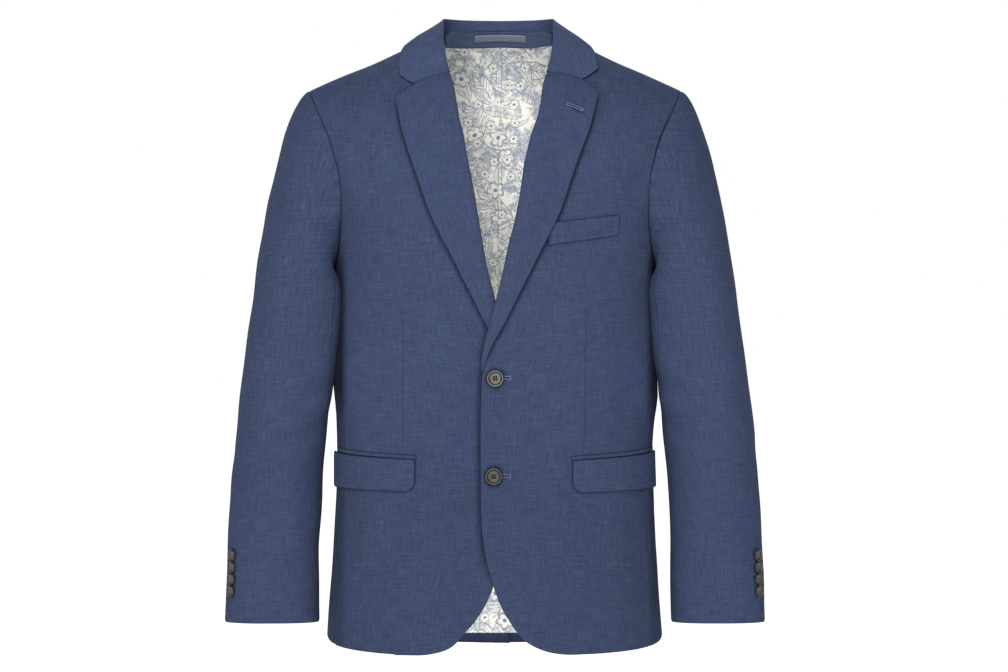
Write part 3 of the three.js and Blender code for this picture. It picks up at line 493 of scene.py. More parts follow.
# Plain weave with slubs: thread height and how light each thread is
def makeWeaveGroup():
    tree, inputs, outputs = newGroup("slubWeave", [
        ("Vector", "NodeSocketVector", (0, 0, 0)), ("Threads per metre", "NodeSocketFloat", 1150.0),
        ("Slub", "NodeSocketFloat", 1.0)],
        [("Shade", "NodeSocketFloat"), ("Height", "NodeSocketFloat")])
    source = inputs.outputs["Vector"]
    x, y, _ = axes(tree, source)
    warp = stretchedNoise(tree, source, (130, 130), 2.0, 0.5, 3.1)
    wobble = times(tree, minus(tree, warp, 0.5), 0.0012)
    threads = times(tree, inputs.outputs["Threads per metre"], math.pi)
    across, along = [mathNode(tree, "SINE", times(tree, plus(tree, way, wobble), threads)) for way in (x, y)]
    crossing = times(tree, across, along)
    ribs = plus(tree, mathNode(tree, "ABSOLUTE", across), mathNode(tree, "ABSOLUTE", along))
    weave = plus(tree, times(tree, crossing, 0.5), times(tree, ribs, 0.35))
    slubDown = stretchedNoise(tree, source, (820, 48), 3.0, 0.6, 7.0)
    slubAcross = stretchedNoise(tree, source, (44, 860), 3.0, 0.6, 13.0)
    fine = stretchedNoise(tree, source, (1300, 1300), 2.0, 0.6, 5.0)
    slubs = plus(tree, minus(tree, slubDown, 0.5), minus(tree, slubAcross, 0.5))
    slubs = times(tree, slubs, inputs.outputs["Slub"])
    flecks = plus(tree, slubs, times(tree, minus(tree, fine, 0.5), 0.8))
    shade = plus(tree, times(tree, weave, 0.07), flecks)
    tree.links.new(mathNode(tree, "ADD", shade, 0.42, clamp=True), outputs.inputs["Shade"])
    tree.links.new(plus(tree, weave, times(tree, slubs, 2.2)), outputs.inputs["Height"])
    return tree


# Broad fading and faint dust over a whole piece
def makeFadeGroup():
    tree, inputs, outputs = newGroup("broadFade", [("Vector", "NodeSocketVector", (0, 0, 0)),
                                                  ("Size", "NodeSocketFloat", 9.0)], [("Fade", "NodeSocketFloat")])
    noise = addNode(tree, "ShaderNodeTexNoise", {"Vector": inputs.outputs["Vector"], "Scale": inputs.outputs["Size"],
                                                 "Detail": 4.0})
    tree.links.new(noise.outputs["Fac"], outputs.inputs["Fade"])
    return tree


weaveGroup = makeWeaveGroup()
fadeGroup = makeFadeGroup()


def useGroup(tree, group, vector, **values):
    named = {label.replace("_", " "): value for label, value in values.items()}
    return addNode(tree, "ShaderNodeGroup", dict(named, Vector=vector), node_tree=group)


def newMaterial(name, roughness, specular=0.3):
    material = bpy.data.materials.new(name)
    material.use_nodes = True
    tree = material.node_tree
    shader = tree.nodes["Principled BSDF"]
    setInputs(tree, shader, {"Roughness": roughness, "Specular IOR Level": specular})
    uv = addNode(tree, "ShaderNodeUVMap", uv_map="cloth")
    place = tree.nodes.new("ShaderNodeTexCoord").outputs["Object"]
    return material, tree, shader, uv.outputs[0], place


def softStep(tree, value, low, high):
    span = {"Value": value, "From Min": low, "From Max": high}
    return addNode(tree, "ShaderNodeMapRange", span, interpolation_type="SMOOTHSTEP").outputs["Result"]


def addBump(tree, shader, height, strength, distance):
    bump = addNode(tree, "ShaderNodeBump", {"Strength": strength, "Distance": distance, "Height": height})
    tree.links.new(bump.outputs[0], shader.inputs["Normal"])


def colorRamp(tree, factor, stops):
    ramp = tree.nodes.new("ShaderNodeValToRGB")
    while len(ramp.color_ramp.elements) < len(stops):
        ramp.color_ramp.elements.new(0.5)
    for element, (place, color) in zip(ramp.color_ramp.elements, stops):
        element.position = place
        element.color = (*color, 1)
    tree.links.new(factor, ramp.inputs[0])
    return ramp.outputs[0]


# edge: width in mm of the painted edge shade along every border
clothLook = dict(dark=(0.0144, 0.0212, 0.0445), middle=(0.0242, 0.0338, 0.0682), light=(0.043, 0.0575, 0.102),
                 roughness=0.95, specular=0.05, sheen=0.02, threads=1150.0, slub=1.0, bump=0.45, edge=1.3)


# Dart seams on the fronts: thin lines at a distance out, between two heights, in metres
dartSet = dict(outLeft=(0.1070, 0.0135), outRight=(-0.1075, 0.0), top=-0.316, bottom=-0.484, half=0.0007)


def dartMask(tree, place):
    x, y, z = axes(tree, place)
    total = None
    for base, lean in (dartSet["outLeft"], dartSet["outRight"]):
        line = mathNode(tree, "MULTIPLY_ADD", plus(tree, z, -dartSet["top"]), lean, base)
        away = mathNode(tree, "ABSOLUTE", minus(tree, x, line))
        band = softStep(tree, away, dartSet["half"] * 1.6, dartSet["half"] * 0.5)
        total = band if total is None else mathNode(tree, "MAXIMUM", total, band)
    upper = softStep(tree, z, dartSet["top"] + 0.004, dartSet["top"] - 0.02)
    lower = softStep(tree, z, dartSet["bottom"], dartSet["bottom"] + 0.002)
    front = mathNode(tree, "LESS_THAN", y, -0.03)
    return times(tree, times(tree, total, front), times(tree, upper, lower))


def makeCloth(name, look, darts=True):
    material, tree, shader, uv, place = newMaterial(name, look["roughness"], look["specular"])
    weave = useGroup(tree, weaveGroup, uv, Threads_per_metre=look["threads"], Slub=look["slub"])
    fade = useGroup(tree, fadeGroup, place, Size=9.0)
    stops = [(0.05, look["dark"]), (0.45, look["middle"]), (0.95, look["light"])]
    thread = colorRamp(tree, weave.outputs["Shade"], stops)
    broad = mathNode(tree, "MULTIPLY_ADD", fade.outputs["Fade"], 0.16, 0.92)
    # Painted edge shade: darker within a millimetre or so of every border and seam
    paintedEdgeShade = mathNode(tree, "MULTIPLY_ADD", softStep(tree, meshValue(tree, "rim"), 0.2, look["edge"]), 0.65, 0.35)
    broad = times(tree, broad, paintedEdgeShade)
    # Painted shade: darker where the 'deep' attribute is set
    broad = times(tree, broad, mathNode(tree, "MULTIPLY_ADD", meshValue(tree, "deep"), -0.87, 1.0))
    shaded = mixColor(tree, 1.0, thread, broad, "MULTIPLY")
    height = weave.outputs["Height"]
    if darts:
        mask = dartMask(tree, place)
        shaded = mixColor(tree, times(tree, mask, 0.3), shaded, (0.008, 0.011, 0.026, 1))
        height = minus(tree, height, times(tree, mask, 4.0))
    setInputs(tree, shader, {"Base Color": shaded, "Sheen Weight": look["sheen"], "Sheen Roughness": 0.5,
                             "Sheen Tint": (0.6, 0.7, 1.0, 1)})
    addBump(tree, shader, height, look["bump"], 0.00022)
    return material


clothMaterial = makeCloth("navyLinen", clothLook)
insideMaterial = makeCloth("navyLinenInside", dict(clothLook, middle=(0.025, 0.035, 0.071)), darts=False)
print("stage: cloth material")

# Body panels
panelThick = 1.5
neckEnd, backMiddle = 77.5, -727
shoulderSpan = (78, 223)
sideAngles = dict(front=67, back=122)
cornerSet = dict(out=115, height=-715, low=-719)


def lowerEdge(seamAt, low, high, cells):
    height = np.linspace(low, high, cells * 10 + 1)[1:]
    return np.stack([seamAt(height), height], -1)


def shoulderEdge(count, behind=False):
    out = np.linspace(*shoulderSpan, count + 1)
    return spotsAt(out, shoulderTop(out), behind)


# How much wider the neck opening is in mm at each depth, for the front that laps over and the one under it
openOver = reader([0, 45, 85, 150, 180, 215, 250, 272, 312, 366, 800],
                  [0, 0, 4.2, 3.8, 5.4, 5.0, 2.8, 3.0, 3.2, 0, 0])
openUnder = reader([0, 205, 272, 312, 366, 800], [0, 0, 1.2, 1.2, 0, 0])


def neckOpen(height, side):
    return openOver(-height) if side > 0 else openUnder(-height)


def frontSpots(edgeAt, endHeight, cornerAt, cornerStart, side):
    outer = np.concatenate([alongRows(armholeFront, 8), lowerEdge(sideFrontAt, sideTop, frontHem, 8)])
    columns = 54
    share = (outer[:, 1] - outer[0, 1]) / (outer[-1, 1] - outer[0, 1])
    height = 7 + share * (endHeight - 7)
    out = np.where(height > rollEnd, rollAt(height) + neckOpen(height, side), edgeAt(height))
    inner = spotsAt(out, height)
    top = shoulderEdge(columns)
    inner[0], outer[0] = top[0], top[-1]
    first = angleAt(cornerStart[0], cornerStart[1])
    t = np.linspace(0, 1, columns + 1)
    angle = first + (sideAngles["front"] - first) * t ** 1.35
    away = formPoint(angle, np.full_like(angle, cornerSet["height"]))[:, 0]
    corner = cornerAt(np.minimum(cornerSet["out"], away))
    low = np.where(away < cornerSet["out"], corner, hemAt(angle) + (corner - cornerSet["low"]) * 0.4)
    bottom = np.stack([angle, low], -1)
    bottom[0], bottom[-1] = inner[-1], outer[-1]
    return patch(inner, outer, top, bottom)


def backSpots(centreOut, neckHeight, hemHeight, grow):
    low = backHem if hemHeight is None else hemHeight
    outer = np.concatenate([alongRows(armholeBack[::-1], 8), lowerEdge(sideBackAt, sideBackTop, low, 8)])
    last = backMiddle if hemHeight is None else hemHeight
    share = (outer[:, 1] - outer[0, 1]) / (outer[-1, 1] - outer[0, 1])
    height = neckHeight + share * (last - neckHeight)
    past = grow * smooth(-height, 520, 532)
    inner = spotsAt(centreOut - past, height, True)
    t = np.linspace(0, 1, 21)
    out = centreOut + (neckEnd - centreOut) * t
    neckLine = neckHeight + (shoulderTop(neckEnd) - neckHeight) * t ** 1.6
    top = np.concatenate([spotsAt(out, neckLine, True), shoulderEdge(36, True)[1:]])
    inner[0], outer[0] = top[0], top[-1]
    t = np.linspace(0, 1, len(top))
    angle = inner[-1, 0] + (outer[-1, 0] - inner[-1, 0]) * t
    bottom = np.stack([angle, hemAt(angle) if hemHeight is None else np.full_like(angle, hemHeight)], -1)
    bottom[0], bottom[-1] = inner[-1], outer[-1]
    return patch(inner, outer, top, bottom)


def sideSpots():
    top = alongRows(armholeUnder, 5)
    front = np.concatenate([top[:1], lowerEdge(sideFrontAt, sideTop, frontHem, 10)])
    back = np.concatenate([top[-1:], lowerEdge(sideBackAt, sideBackTop, backHem, 10)])
    angle = np.linspace(sideAngles["front"], sideAngles["back"], len(top))
    bottom = np.stack([angle, hemAt(angle)], -1)
    bottom[0], bottom[-1] = front[-1], back[-1]
    return patch(front, back, top, bottom)


def underlapDrop(spots):
    out = formPoint(spots[..., 0], spots[..., 1])[..., 0]
    return 5.0 * (1 - smooth(out, 22, 80)) * smooth(-spots[..., 1], 215, 300)


def finePanel(spots):
    return resample(spots, denseEdges(len(spots) - 1, 700), denseEdges(spots.shape[1] - 1, 230))


def makePanel(name, node, side, fine, lift, turn, shade=None):
    points, normals = formGrid(fine, lift, side)
    points = seamEdges(points, normals, turn=turn)
    # shade gives the painted shade for the 'deep' attribute
    piece = shell(name, points, normals, panelThick, clothMaterial, insideMaterial, bodyGrain(points),
                  paintedShadePlaces(points, *shade) if shade else None)
    finishSheet(piece, node)


def makeFront(name, node, side, spots, under):
    fine = finePanel(spots)
    lift = -underlapDrop(fine) if under else np.zeros(fine.shape[:2])
    makePanel(name, node, side, fine, lift, (0.7, 0.9, 0.9, 0.7), (fine, side, under))


makeFront("clothFrontLeft", "front_left", 1, frontSpots(edgeOverAt, -687, cornerOverAt, (21, -687), 1), False)
makeFront("clothFrontRight", "front_right", -1, frontSpots(edgeUnderAt, -685, cornerUnderAt, (26, -685), -1), True)
for label, side in (("Left", 1), ("Right", -1)):
    fine = resample(sideSpots(), denseEdges(100, 470), denseEdges(30, 115))
    makePanel("clothSide" + label, "side_" + label.lower(), side, fine, np.zeros(fine.shape[:2]),
              (0.5, 0.9, 0.7, 0.7), (None, side, False))
    fine = finePanel(backSpots(0, 20, None, 0 if side > 0 else 17))
    out = formPoint(fine[..., 0], fine[..., 1])[..., 0]
    deep = 2.6 * (1 - smooth(out, 4, 40)) * smooth(-fine[..., 1], 470, 520) if side < 0 else np.zeros(out.shape)
    makePanel("clothBack" + label, "back_" + label.lower(), side, fine, -deep, (0.6, 0.9, 0.7, 0.7))
print("stage: body panels")


# Lapels, turned over the front edge in a soft roll
lapelSet = dict(lift=5.3, tipLift=2.8, thick=1.36, rollRadius=2.6, rows=130, columns=26, foldTop=-41.4, foldEnd=-390,
                edgeEnd=-393)
notchSets = {1: dict(top=-64.5, at=0.68, rise=7.2), -1: dict(top=-67.5, at=0.61, rise=3.4)}


def notchShape(w, at):
    return np.where(w < at, w / at, (1 - w) / (1 - at))


def lapelLift(height):
    tip = lapelSet["tipLift"] - 1.3 * smooth(-height, 350, 390)
    return lapelSet["lift"] + (tip - lapelSet["lift"]) * smooth(-height, 235, 300)


def makeLapel(name, node, side, under):
    v = np.linspace(0, 1, lapelSet["rows"] + 1)[:, None]
    w = denseEdges(lapelSet["columns"], 62)[None, :]
    foldHeight = lapelSet["foldTop"] + (lapelSet["foldEnd"] - lapelSet["foldTop"]) * v
    notch = notchSets[side]
    edgeHeight = notch["top"] + (lapelSet["edgeEnd"] - notch["top"]) * v
    foldOut, edgeOut = foldAt(foldHeight) + neckOpen(foldHeight, side), lapelEdgeAt(edgeHeight)
    rise = notch["rise"] * notchShape(w, notch["at"]) * (1 - smooth(v, 0, 0.12))
    out = foldOut + (edgeOut - foldOut) * w
    height = foldHeight + (edgeHeight - foldHeight) * w + rise
    spots = spotsAt(out, height)
    wide = edgeOut - foldOut
    bulge = 2.6 * np.sin(np.pi * np.minimum(1, w * 1.45)) * smooth(wide, 8, 34)
    wave = 0.7 * np.sin(v * 11 + side) * w * smooth(wide, 10, 34)
    drop = underlapDrop(spots) if under else 0
    lift = lapelLift(height) + bulge + wave - drop
    points, normals = formGrid(spots, lift, side)
    radius = lapelSet["rollRadius"] * (0.55 + 0.45 * smooth(wide[:, 0], 4, 24))
    toward = unit(points[:, 0] - points[:, 3])
    turns = np.radians([180, 150, 120, 90, 62, 36, 16])
    centre = points[:, 0] - normals[:, 0] * radius[:, None]
    rollPoints = np.stack([centre + toward * (radius * math.sin(b))[:, None]
                           + normals[:, 0] * (radius * math.cos(b))[:, None] for b in turns], 1)
    rollNormals = np.stack([unit(toward * math.sin(b) + normals[:, 0] * math.cos(b)) for b in turns], 1)
    points = np.concatenate([rollPoints, points], 1)
    normals = np.concatenate([rollNormals, normals], 1)
    points = seamEdges(points, normals, gap=0.1, turn=(0.8, 0.5, 0.0, 0.9), reach=2.2)
    joined = np.concatenate([np.ones(len(turns)), 1 - smooth(w[0], notch["at"] - 0.12, notch["at"])])[None, :]
    # plain keeps the lapel's roll out of the painted edge shade
    piece = shell(name, points, normals, lapelSet["thick"], clothMaterial, plain=0.55 * joined)
    finishSheet(piece, node)


makeLapel("lapelLeft", "lapel_left", 1, False)
makeLapel("lapelRight", "lapel_right", -1, True)
print("stage: lapels")

# Collar: neck seam, up to the fold and over it to the outer edge
collarSet = dict(lift=4.6, thick=1.5, foldWidth=4.6, notchAt=0.72, notchDrop=11, rows=90)
collarFold = [(0, 80, 36.4), (25, 77, 36.4), (45, 66, 36), (59, 50, 35.5), (66, 30, 34), (67.5, 8, 30),
              (67.5, -14, 22), (67, -36, 8), (65, -56, -8), (62, -71, -23), (58.8, -84.5, -38)]
collarNeck = [(0, 73.6, 22.8), (25, 69.6, 21.8), (45, 57, 18.6), (60, 39, 14.6), (70, 19, 11), (74.5, 2, 8.5),
              (73.5, -17, 3.5), (71, -36, -5), (67.5, -53, -16), (62.5, -66, -27), (56.5, -77, -39)]
collarRim = [(-1, 0, -8), (-1, 36, -8.5), (-1, 68, -8.5), (-1, 92, -7.5), (-1, 104, -5.5), (1, 109, -5.5),
             (1, 113.5, -13), (1, 116.5, -24), (1, 117.4, -35.6)]
collarRimRight = collarRim[:-2] + [(1, 115.5, -28), (1, 113.8, -43.5)]


def curveAt(rows, u):
    rows = np.array(rows, float)
    index = np.arange(len(rows))
    return np.stack([reader(index, rows[:, n])(u * (len(rows) - 1)) for n in range(3)], -1)


def clearOfForm(points, lift):
    out, height = points[..., 0], points[..., 2]
    away = np.minimum(widest, np.abs(out))
    low = height < shoulderTop(away) - 0.5
    angle = angleAt(out, height)
    ahead = formPoint(angle, height) + formNormal(angle, height) * lift
    behind = formPoint(180 - angle, height) + formNormal(180 - angle, height) * lift
    moved = points.copy()
    isFront = points[..., 1] < shoulderDepth(away)
    moved[..., 1] = np.where(low & isFront, np.minimum(points[..., 1], ahead[..., 1]), moved[..., 1])
    moved[..., 1] = np.where(low & ~isFront, np.maximum(points[..., 1], behind[..., 1]), moved[..., 1])
    return moved


def collarHalf(u, rimTable):
    top, base = curveAt(collarFold, u), curveAt(collarNeck, u)
    rimRows = []
    for face, out, height in rimTable:
        angle = float(angleAt(out, height)) if face > 0 else 180 - float(angleAt(out, height))
        rimRows.append(formPoint(angle, height) + formNormal(angle, height) * collarSet["lift"])
    rim = curveAt(rimRows, u)
    outward = rim - base
    outward[:, 2] = 0
    outward = unit(outward)
    wide = (collarSet["foldWidth"] * (1 - 0.45 * smooth(u, 0.75, 1)))[:, None]
    start = top + outward * wide * 0.5 - np.array([0, 0, 1.6])
    inner = top - outward * wide * 0.5 - np.array([0, 0, 1.8])
    row = [base, base * 0.5 + inner * 0.5, inner, top]
    for w in (0, 0.25, 0.5, collarSet["notchAt"], 1):
        bow = (2.6 * math.sin(math.pi * w) * (1 - smooth(u, 0.6, 0.95)))[:, None]
        point = start * (1 - w) + rim * w + outward * bow + np.array([0, 0, 1]) * bow
        point[:, 2] -= collarSet["notchDrop"] * float(notchShape(w, collarSet["notchAt"])) * smooth(u, 0.86, 1)
        row.append(clearOfForm(point, collarSet["lift"]) if w > 0.1 else point)
    return np.stack(row, 1)


u = np.linspace(0, 1, collarSet["rows"] + 1)
leftHalf = settle(collarHalf(u, collarRim), 1)
rightHalf = settle(collarHalf(u[1:][::-1], collarRimRight), -1)
coarse = np.concatenate([rightHalf, leftHalf])
marks = np.concatenate([np.linspace(0, 2, 8)[:-1], np.linspace(2, 4, 9)[:-1], np.linspace(4, 8, 34)])
marks = np.concatenate([marks[:-1], [7.93, 7.97, 8.0]])
index = np.arange(coarse.shape[1])
points = np.empty((len(coarse), len(marks), 3))
for r in range(len(coarse)):
    for n in range(3):
        points[r, :, n] = reader(index, coarse[r, :, n])(marks)
along = np.gradient(points, axis=0)
around = np.gradient(points, axis=1)
normals = unit(np.cross(along, around))
if normals[len(normals) // 2, 30, 1] < 0:
    normals = -normals
wave = 0.5 * np.sin(np.linspace(-9, 9, len(points)))[:, None] * smooth(np.arange(points.shape[1]), 18, 40)[None]
points = points + normals * wave[..., None]
points = seamEdges(points, normals, gap=0.1, turn=(0.7, 0.7, 0.0, 0.8), reach=2.2)
# A lighter copy of the cloth for the collar: painted light on top surfaces the lamps reach too little
collarPaintedLightLook = dict(clothLook, dark=(0.0195, 0.028, 0.059), middle=(0.0312, 0.0435, 0.087), light=(0.054, 0.072, 0.127))
collarPaintedLightMaterial = makeCloth("navyLinenCollarPaintedLight", collarPaintedLightLook, darts=False)
collar = shell("collarCloth", points, normals, collarSet["thick"], collarPaintedLightMaterial)
finishSheet(collar, "collar")
print("stage: collar")

# Sleeves: rings from the armhole to the cuff, cut at the two sleeve seams
sleeveSet = dict(armLength=383, power=2.25, twist=68, bodyGap=4.2, thick=1.5, capRings=56, armRings=110, perEdge=6)
sleeveRows = [(-306, 290, 187, -72, 66), (-378, 300, 196, -72, 56), (-450, 308, 200, -70, 46),
              (-522, 314.5, 206, -68, 36), (-594, 318.5, 209, -66, 26), (-650, 321, 209.5, -63, 20),
              (-691, 322.5, 209.5, -60, 16)]
sleeveOuter, sleeveInner, sleeveFront, sleeveBack = (column(sleeveRows, 0, n) for n in (1, 2, 3, 4))


def bodyReach(depth, height):
    side = sideAt(height)
    full = np.where(depth < side, frontAt(height), backAt(height)) - side
    part = np.minimum(1, np.abs((depth - side) / full))
    return halfAt(height) * (1 - part ** sectionPower) ** (1 / sectionPower)


def sleevePoint(angle, height):
    height = np.asarray(height, float) + 0 * np.asarray(angle)
    outer, inner, front, back = (at(height) for at in (sleeveOuter, sleeveInner, sleeveFront, sleeveBack))
    s, c = np.sin(np.radians(angle)), np.cos(np.radians(angle))
    reach = (np.abs(s) ** sleeveSet["power"] + np.abs(c) ** sleeveSet["power"]) ** (-1 / sleeveSet["power"])
    depth = (front + back) / 2 - ((back - front) / 2) * c * reach
    plain = (outer + inner) / 2 + ((outer - inner) / 2) * s * reach
    least = bodyReach(depth, height) + sleeveSet["bodyGap"]
    over = least - plain
    out = np.where(over > -8, np.maximum(plain, least) + 0.03 * np.maximum(0, 8 - np.abs(over)) ** 2, plain)
    return np.stack([out, depth, height], -1)


def sleeveRings():
    per = sleeveSet["perEdge"]
    loop = np.concatenate([alongRows(armholeFront, per), alongRows(armholeUnder, per)[1:],
                           alongRows(armholeBack, per)[1:-1]])
    loop[0] = spotsAt(shoulderSpan[1], shoulderTop(shoulderSpan[1]))
    hole, holeNormals = formPoint(loop[:, 0], loop[:, 1]), formNormal(loop[:, 0], loop[:, 1])
    steps = np.linalg.norm(np.roll(hole, -1, 0) - hole, axis=1)
    angles = 90 - 360 * np.concatenate([[0], np.cumsum(steps)[:-1]]) / steps.sum()
    centre = hole.mean(0)
    low, high = hole[:, 2].min(), hole[0, 2]
    under = 1 - smooth(hole[:, 2], low, low + 70)
    starts = hole.copy()
    starts[:, 0] += 0.45 + 3.4 * under
    share = ((starts[:, 2] - low) / (high - low))[:, None]
    end = sleevePoint(angles, sleeveStart)
    lift = 12 + 83 * share
    tilt = 0.42 * (starts[:, 1:2] - centre[1]) / 85
    leave = np.concatenate([0.95 * lift, tilt * lift, -(10 + 30 * share)], 1)
    down = np.concatenate([30 * share + 2, 0 * share, -(starts[:, 2:] - sleeveStart) * 1.03 - 3], 1)
    rings = []
    for i in range(sleeveSet["capRings"] + 1):
        t = (i / sleeveSet["capRings"]) ** 1.25
        rings.append(starts * (2 * t ** 3 - 3 * t ** 2 + 1) + leave * (t ** 3 - 2 * t ** 2 + t)
                     + end * (-2 * t ** 3 + 3 * t ** 2) + down * (t ** 3 - t ** 2))
    for i in range(1, sleeveSet["armRings"] + 1):
        t = i / sleeveSet["armRings"]
        twist = sleeveSet["twist"] * float(smooth(t, 0, 1))
        rings.append(sleevePoint(angles - twist, sleeveStart - sleeveSet["armLength"] * t))
    rings = np.array(rings)
    down = np.gradient(rings, axis=0)
    around = (np.roll(rings, -1, 1) - np.roll(rings, 1, 1)) / 2
    normals = -unit(np.cross(down, around))
    blend = smooth(np.arange(len(rings)), 0, 5)[:, None, None]
    normals = unit(holeNormals[None] * (1 - blend) + normals * blend)
    return rings, normals


# Sleeve creases, as (height, angle) from, (height, angle) to, width in mm, depth in mm
sleeveCreases = [
    ((-120, 62), (-236, 10), 13, 1.6), ((-104, 40), (-226, -12), 11, -1.1), ((-140, 84), (-262, 40), 13, 1.2),
    ((-250, -30), (-330, 20), 12, 1.4), ((-282, -48), (-356, 6), 10, -0.9), ((-395, -72), (-440, 10), 13, 1.9),
    ((-420, -64), (-462, 20), 10, -1.2), ((-452, -72), (-478, 16), 11, 1.5), ((-480, 90), (-528, 30), 13, 1.3),
    ((-560, -30), (-640, 24), 14, 0.9), ((-130, 170), (-250, 215), 14, 1.5), ((-420, 180), (-468, 250), 13, 1.6),
    ((-445, 170), (-500, 240), 11, -1.0), ((-520, 190), (-600, 230), 14, 1.1), ((-300, 130), (-372, 170), 13, 1.1),
]


# Fullness at the front inner side, where the sleeve lies against the body
sleeveFullness = reader([0, 190, 215, 236, 262, 285, 310, 340, 366, 392, 420, 450, 700],
                        [0, 0, 3, 7, 11, 12, 12.5, 12.5, 12, 10.5, 7, 2.5, 0])


def sleeveRelief(rings, side):
    middle = rings.mean(1)
    around = np.degrees(np.arctan2(rings[..., 0] - middle[:, None, 0], -(rings[..., 1] - middle[:, None, 1])))
    height = rings[..., 2]
    total = np.zeros(height.shape)
    for start, end, width, depth in sleeveCreases:
        for turn in (-360, 0, 360):
            a = (around + turn + 3 * side) * 0.9
            px, pz = a - start[1] * 0.9, height - start[0] - 4 * side
            along = np.array([(end[1] - start[1]) * 0.9, end[0] - start[0]])
            size = np.linalg.norm(along)
            along = along / size
            t = (px * along[0] + pz * along[1]) / size
            total -= creaseProfile(t, (-px * along[1] + pz * along[0]) / width, depth)
    inward = np.where(around > 180, around - 360, around)
    total += sleeveFullness(-height) * np.exp(-((inward + 56) / 27) ** 2)
    total += unevenness(around * 0.9 + 40 * side, height, 1.0, 31 + side)
    ends = smooth(np.arange(len(rings)), 0, 10)[:, None]
    return total * ends


def makeSleeve(label, side):
    rings, normals = sleeveRings()
    rings = rings + normals * sleeveRelief(rings, side)[..., None]
    middle = rings.mean(1)[:, None]
    around = np.degrees(np.arctan2(rings[..., 0] - middle[..., 0], middle[..., 1] - rings[..., 1]))
    per, count = sleeveSet["perEdge"], rings.shape[1]
    for kind, start, stop, flat, area in (("upper", -3 * per, 9 * per, (0.22, 0.66), 0.117),
                                          ("under", 9 * per, 21 * per, (0.19, 0.63), 0.092)):
        pick = np.arange(start, stop + 1) % count
        turned = np.unwrap(around[:, pick], axis=1, period=360)
        turned -= 360 * np.round(turned[:, len(pick) // 2, None] / 360)
        lengthwise = np.stack([turned * 0.95, rings[:, pick, 2]], -1)
        spots = np.concatenate([rings[:, pick], normals[:, pick], lengthwise], -1)
        spots = resample(spots, denseEdges(len(rings) - 1, 640), denseEdges(len(pick) - 1, 190))
        points, turned = settle(spots[..., :3], side), flip(unit(spots[..., 3:6]), side)
        points = seamEdges(points, turned, turn=(0.7, 0.9, 0.6, 0.6))
        piece = shell(f"{kind}Sleeve{label}", points, turned, sleeveSet["thick"], clothMaterial, insideMaterial,
                      spots[..., 6:])
        finishSheet(piece, f"{kind}_sleeve_{label.lower()}")


makeSleeve("Left", 1)
makeSleeve("Right", -1)
print("stage: sleeves")

# Lining: generic leaves and small blossoms on cream, laid out by cells
liningLook = dict(ground=(0.86, 0.84, 0.75), leaf=(0.150, 0.190, 0.280), pale=(0.36, 0.40, 0.47),
                  bloom=(0.17, 0.215, 0.31), roughness=0.42)


def cellField(tree, vector, scale, seed):
    moved = {"Vector": vector, "Location": (seed, seed * 0.6, 0)}
    place = addNode(tree, "ShaderNodeMapping", moved).outputs[0]
    voronoi = addNode(tree, "ShaderNodeTexVoronoi", {"Vector": place, "Scale": scale, "Randomness": 0.85},
                      voronoi_dimensions="2D")
    offset = addNode(tree, "ShaderNodeVectorMath", {0: place, 1: voronoi.outputs["Position"]}, operation="SUBTRACT")
    cells = addNode(tree, "ShaderNodeVectorMath", {0: offset.outputs[0], "Scale": scale}, operation="SCALE")
    x, y, _ = axes(tree, cells.outputs[0])
    shade = addNode(tree, "ShaderNodeSeparateColor", {0: voronoi.outputs["Color"]})
    return x, y, shade.outputs[0], shade.outputs[1]


# Blossom of round petals: mask falls with distance, wavy with the angle
def bloomMask(tree, x, y, turn, radius, petals):
    reach = mathNode(tree, "SQRT", plus(tree, times(tree, x, x), times(tree, y, y)))
    angle = plus(tree, mathNode(tree, "ARCTAN2", y, x), times(tree, turn, 6.28))
    wave = mathNode(tree, "ABSOLUTE", mathNode(tree, "COSINE", times(tree, angle, petals / 2)))
    edge = times(tree, mathNode(tree, "MULTIPLY_ADD", wave, 0.45, 0.55), radius)
    return mathNode(tree, "DIVIDE", reach, edge), reach


# Pointed leaf, turned by the cell's own random value
def leafMask(tree, x, y, turn, length, width):
    angle = times(tree, turn, 6.28)
    c, s = mathNode(tree, "COSINE", angle), mathNode(tree, "SINE", angle)
    a = plus(tree, times(tree, x, c), times(tree, y, s))
    b = minus(tree, times(tree, y, c), times(tree, x, s))
    a2 = mathNode(tree, "POWER", mathNode(tree, "ABSOLUTE", mathNode(tree, "DIVIDE", a, length)), 1.6)
    b2 = mathNode(tree, "ABSOLUTE", mathNode(tree, "DIVIDE", b, width))
    slant = times(tree, mathNode(tree, "ABSOLUTE", b), -60.0)
    ribs = mathNode(tree, "SINE", mathNode(tree, "MULTIPLY_ADD", a, 44.0, slant))
    return plus(tree, a2, b2), b, ribs


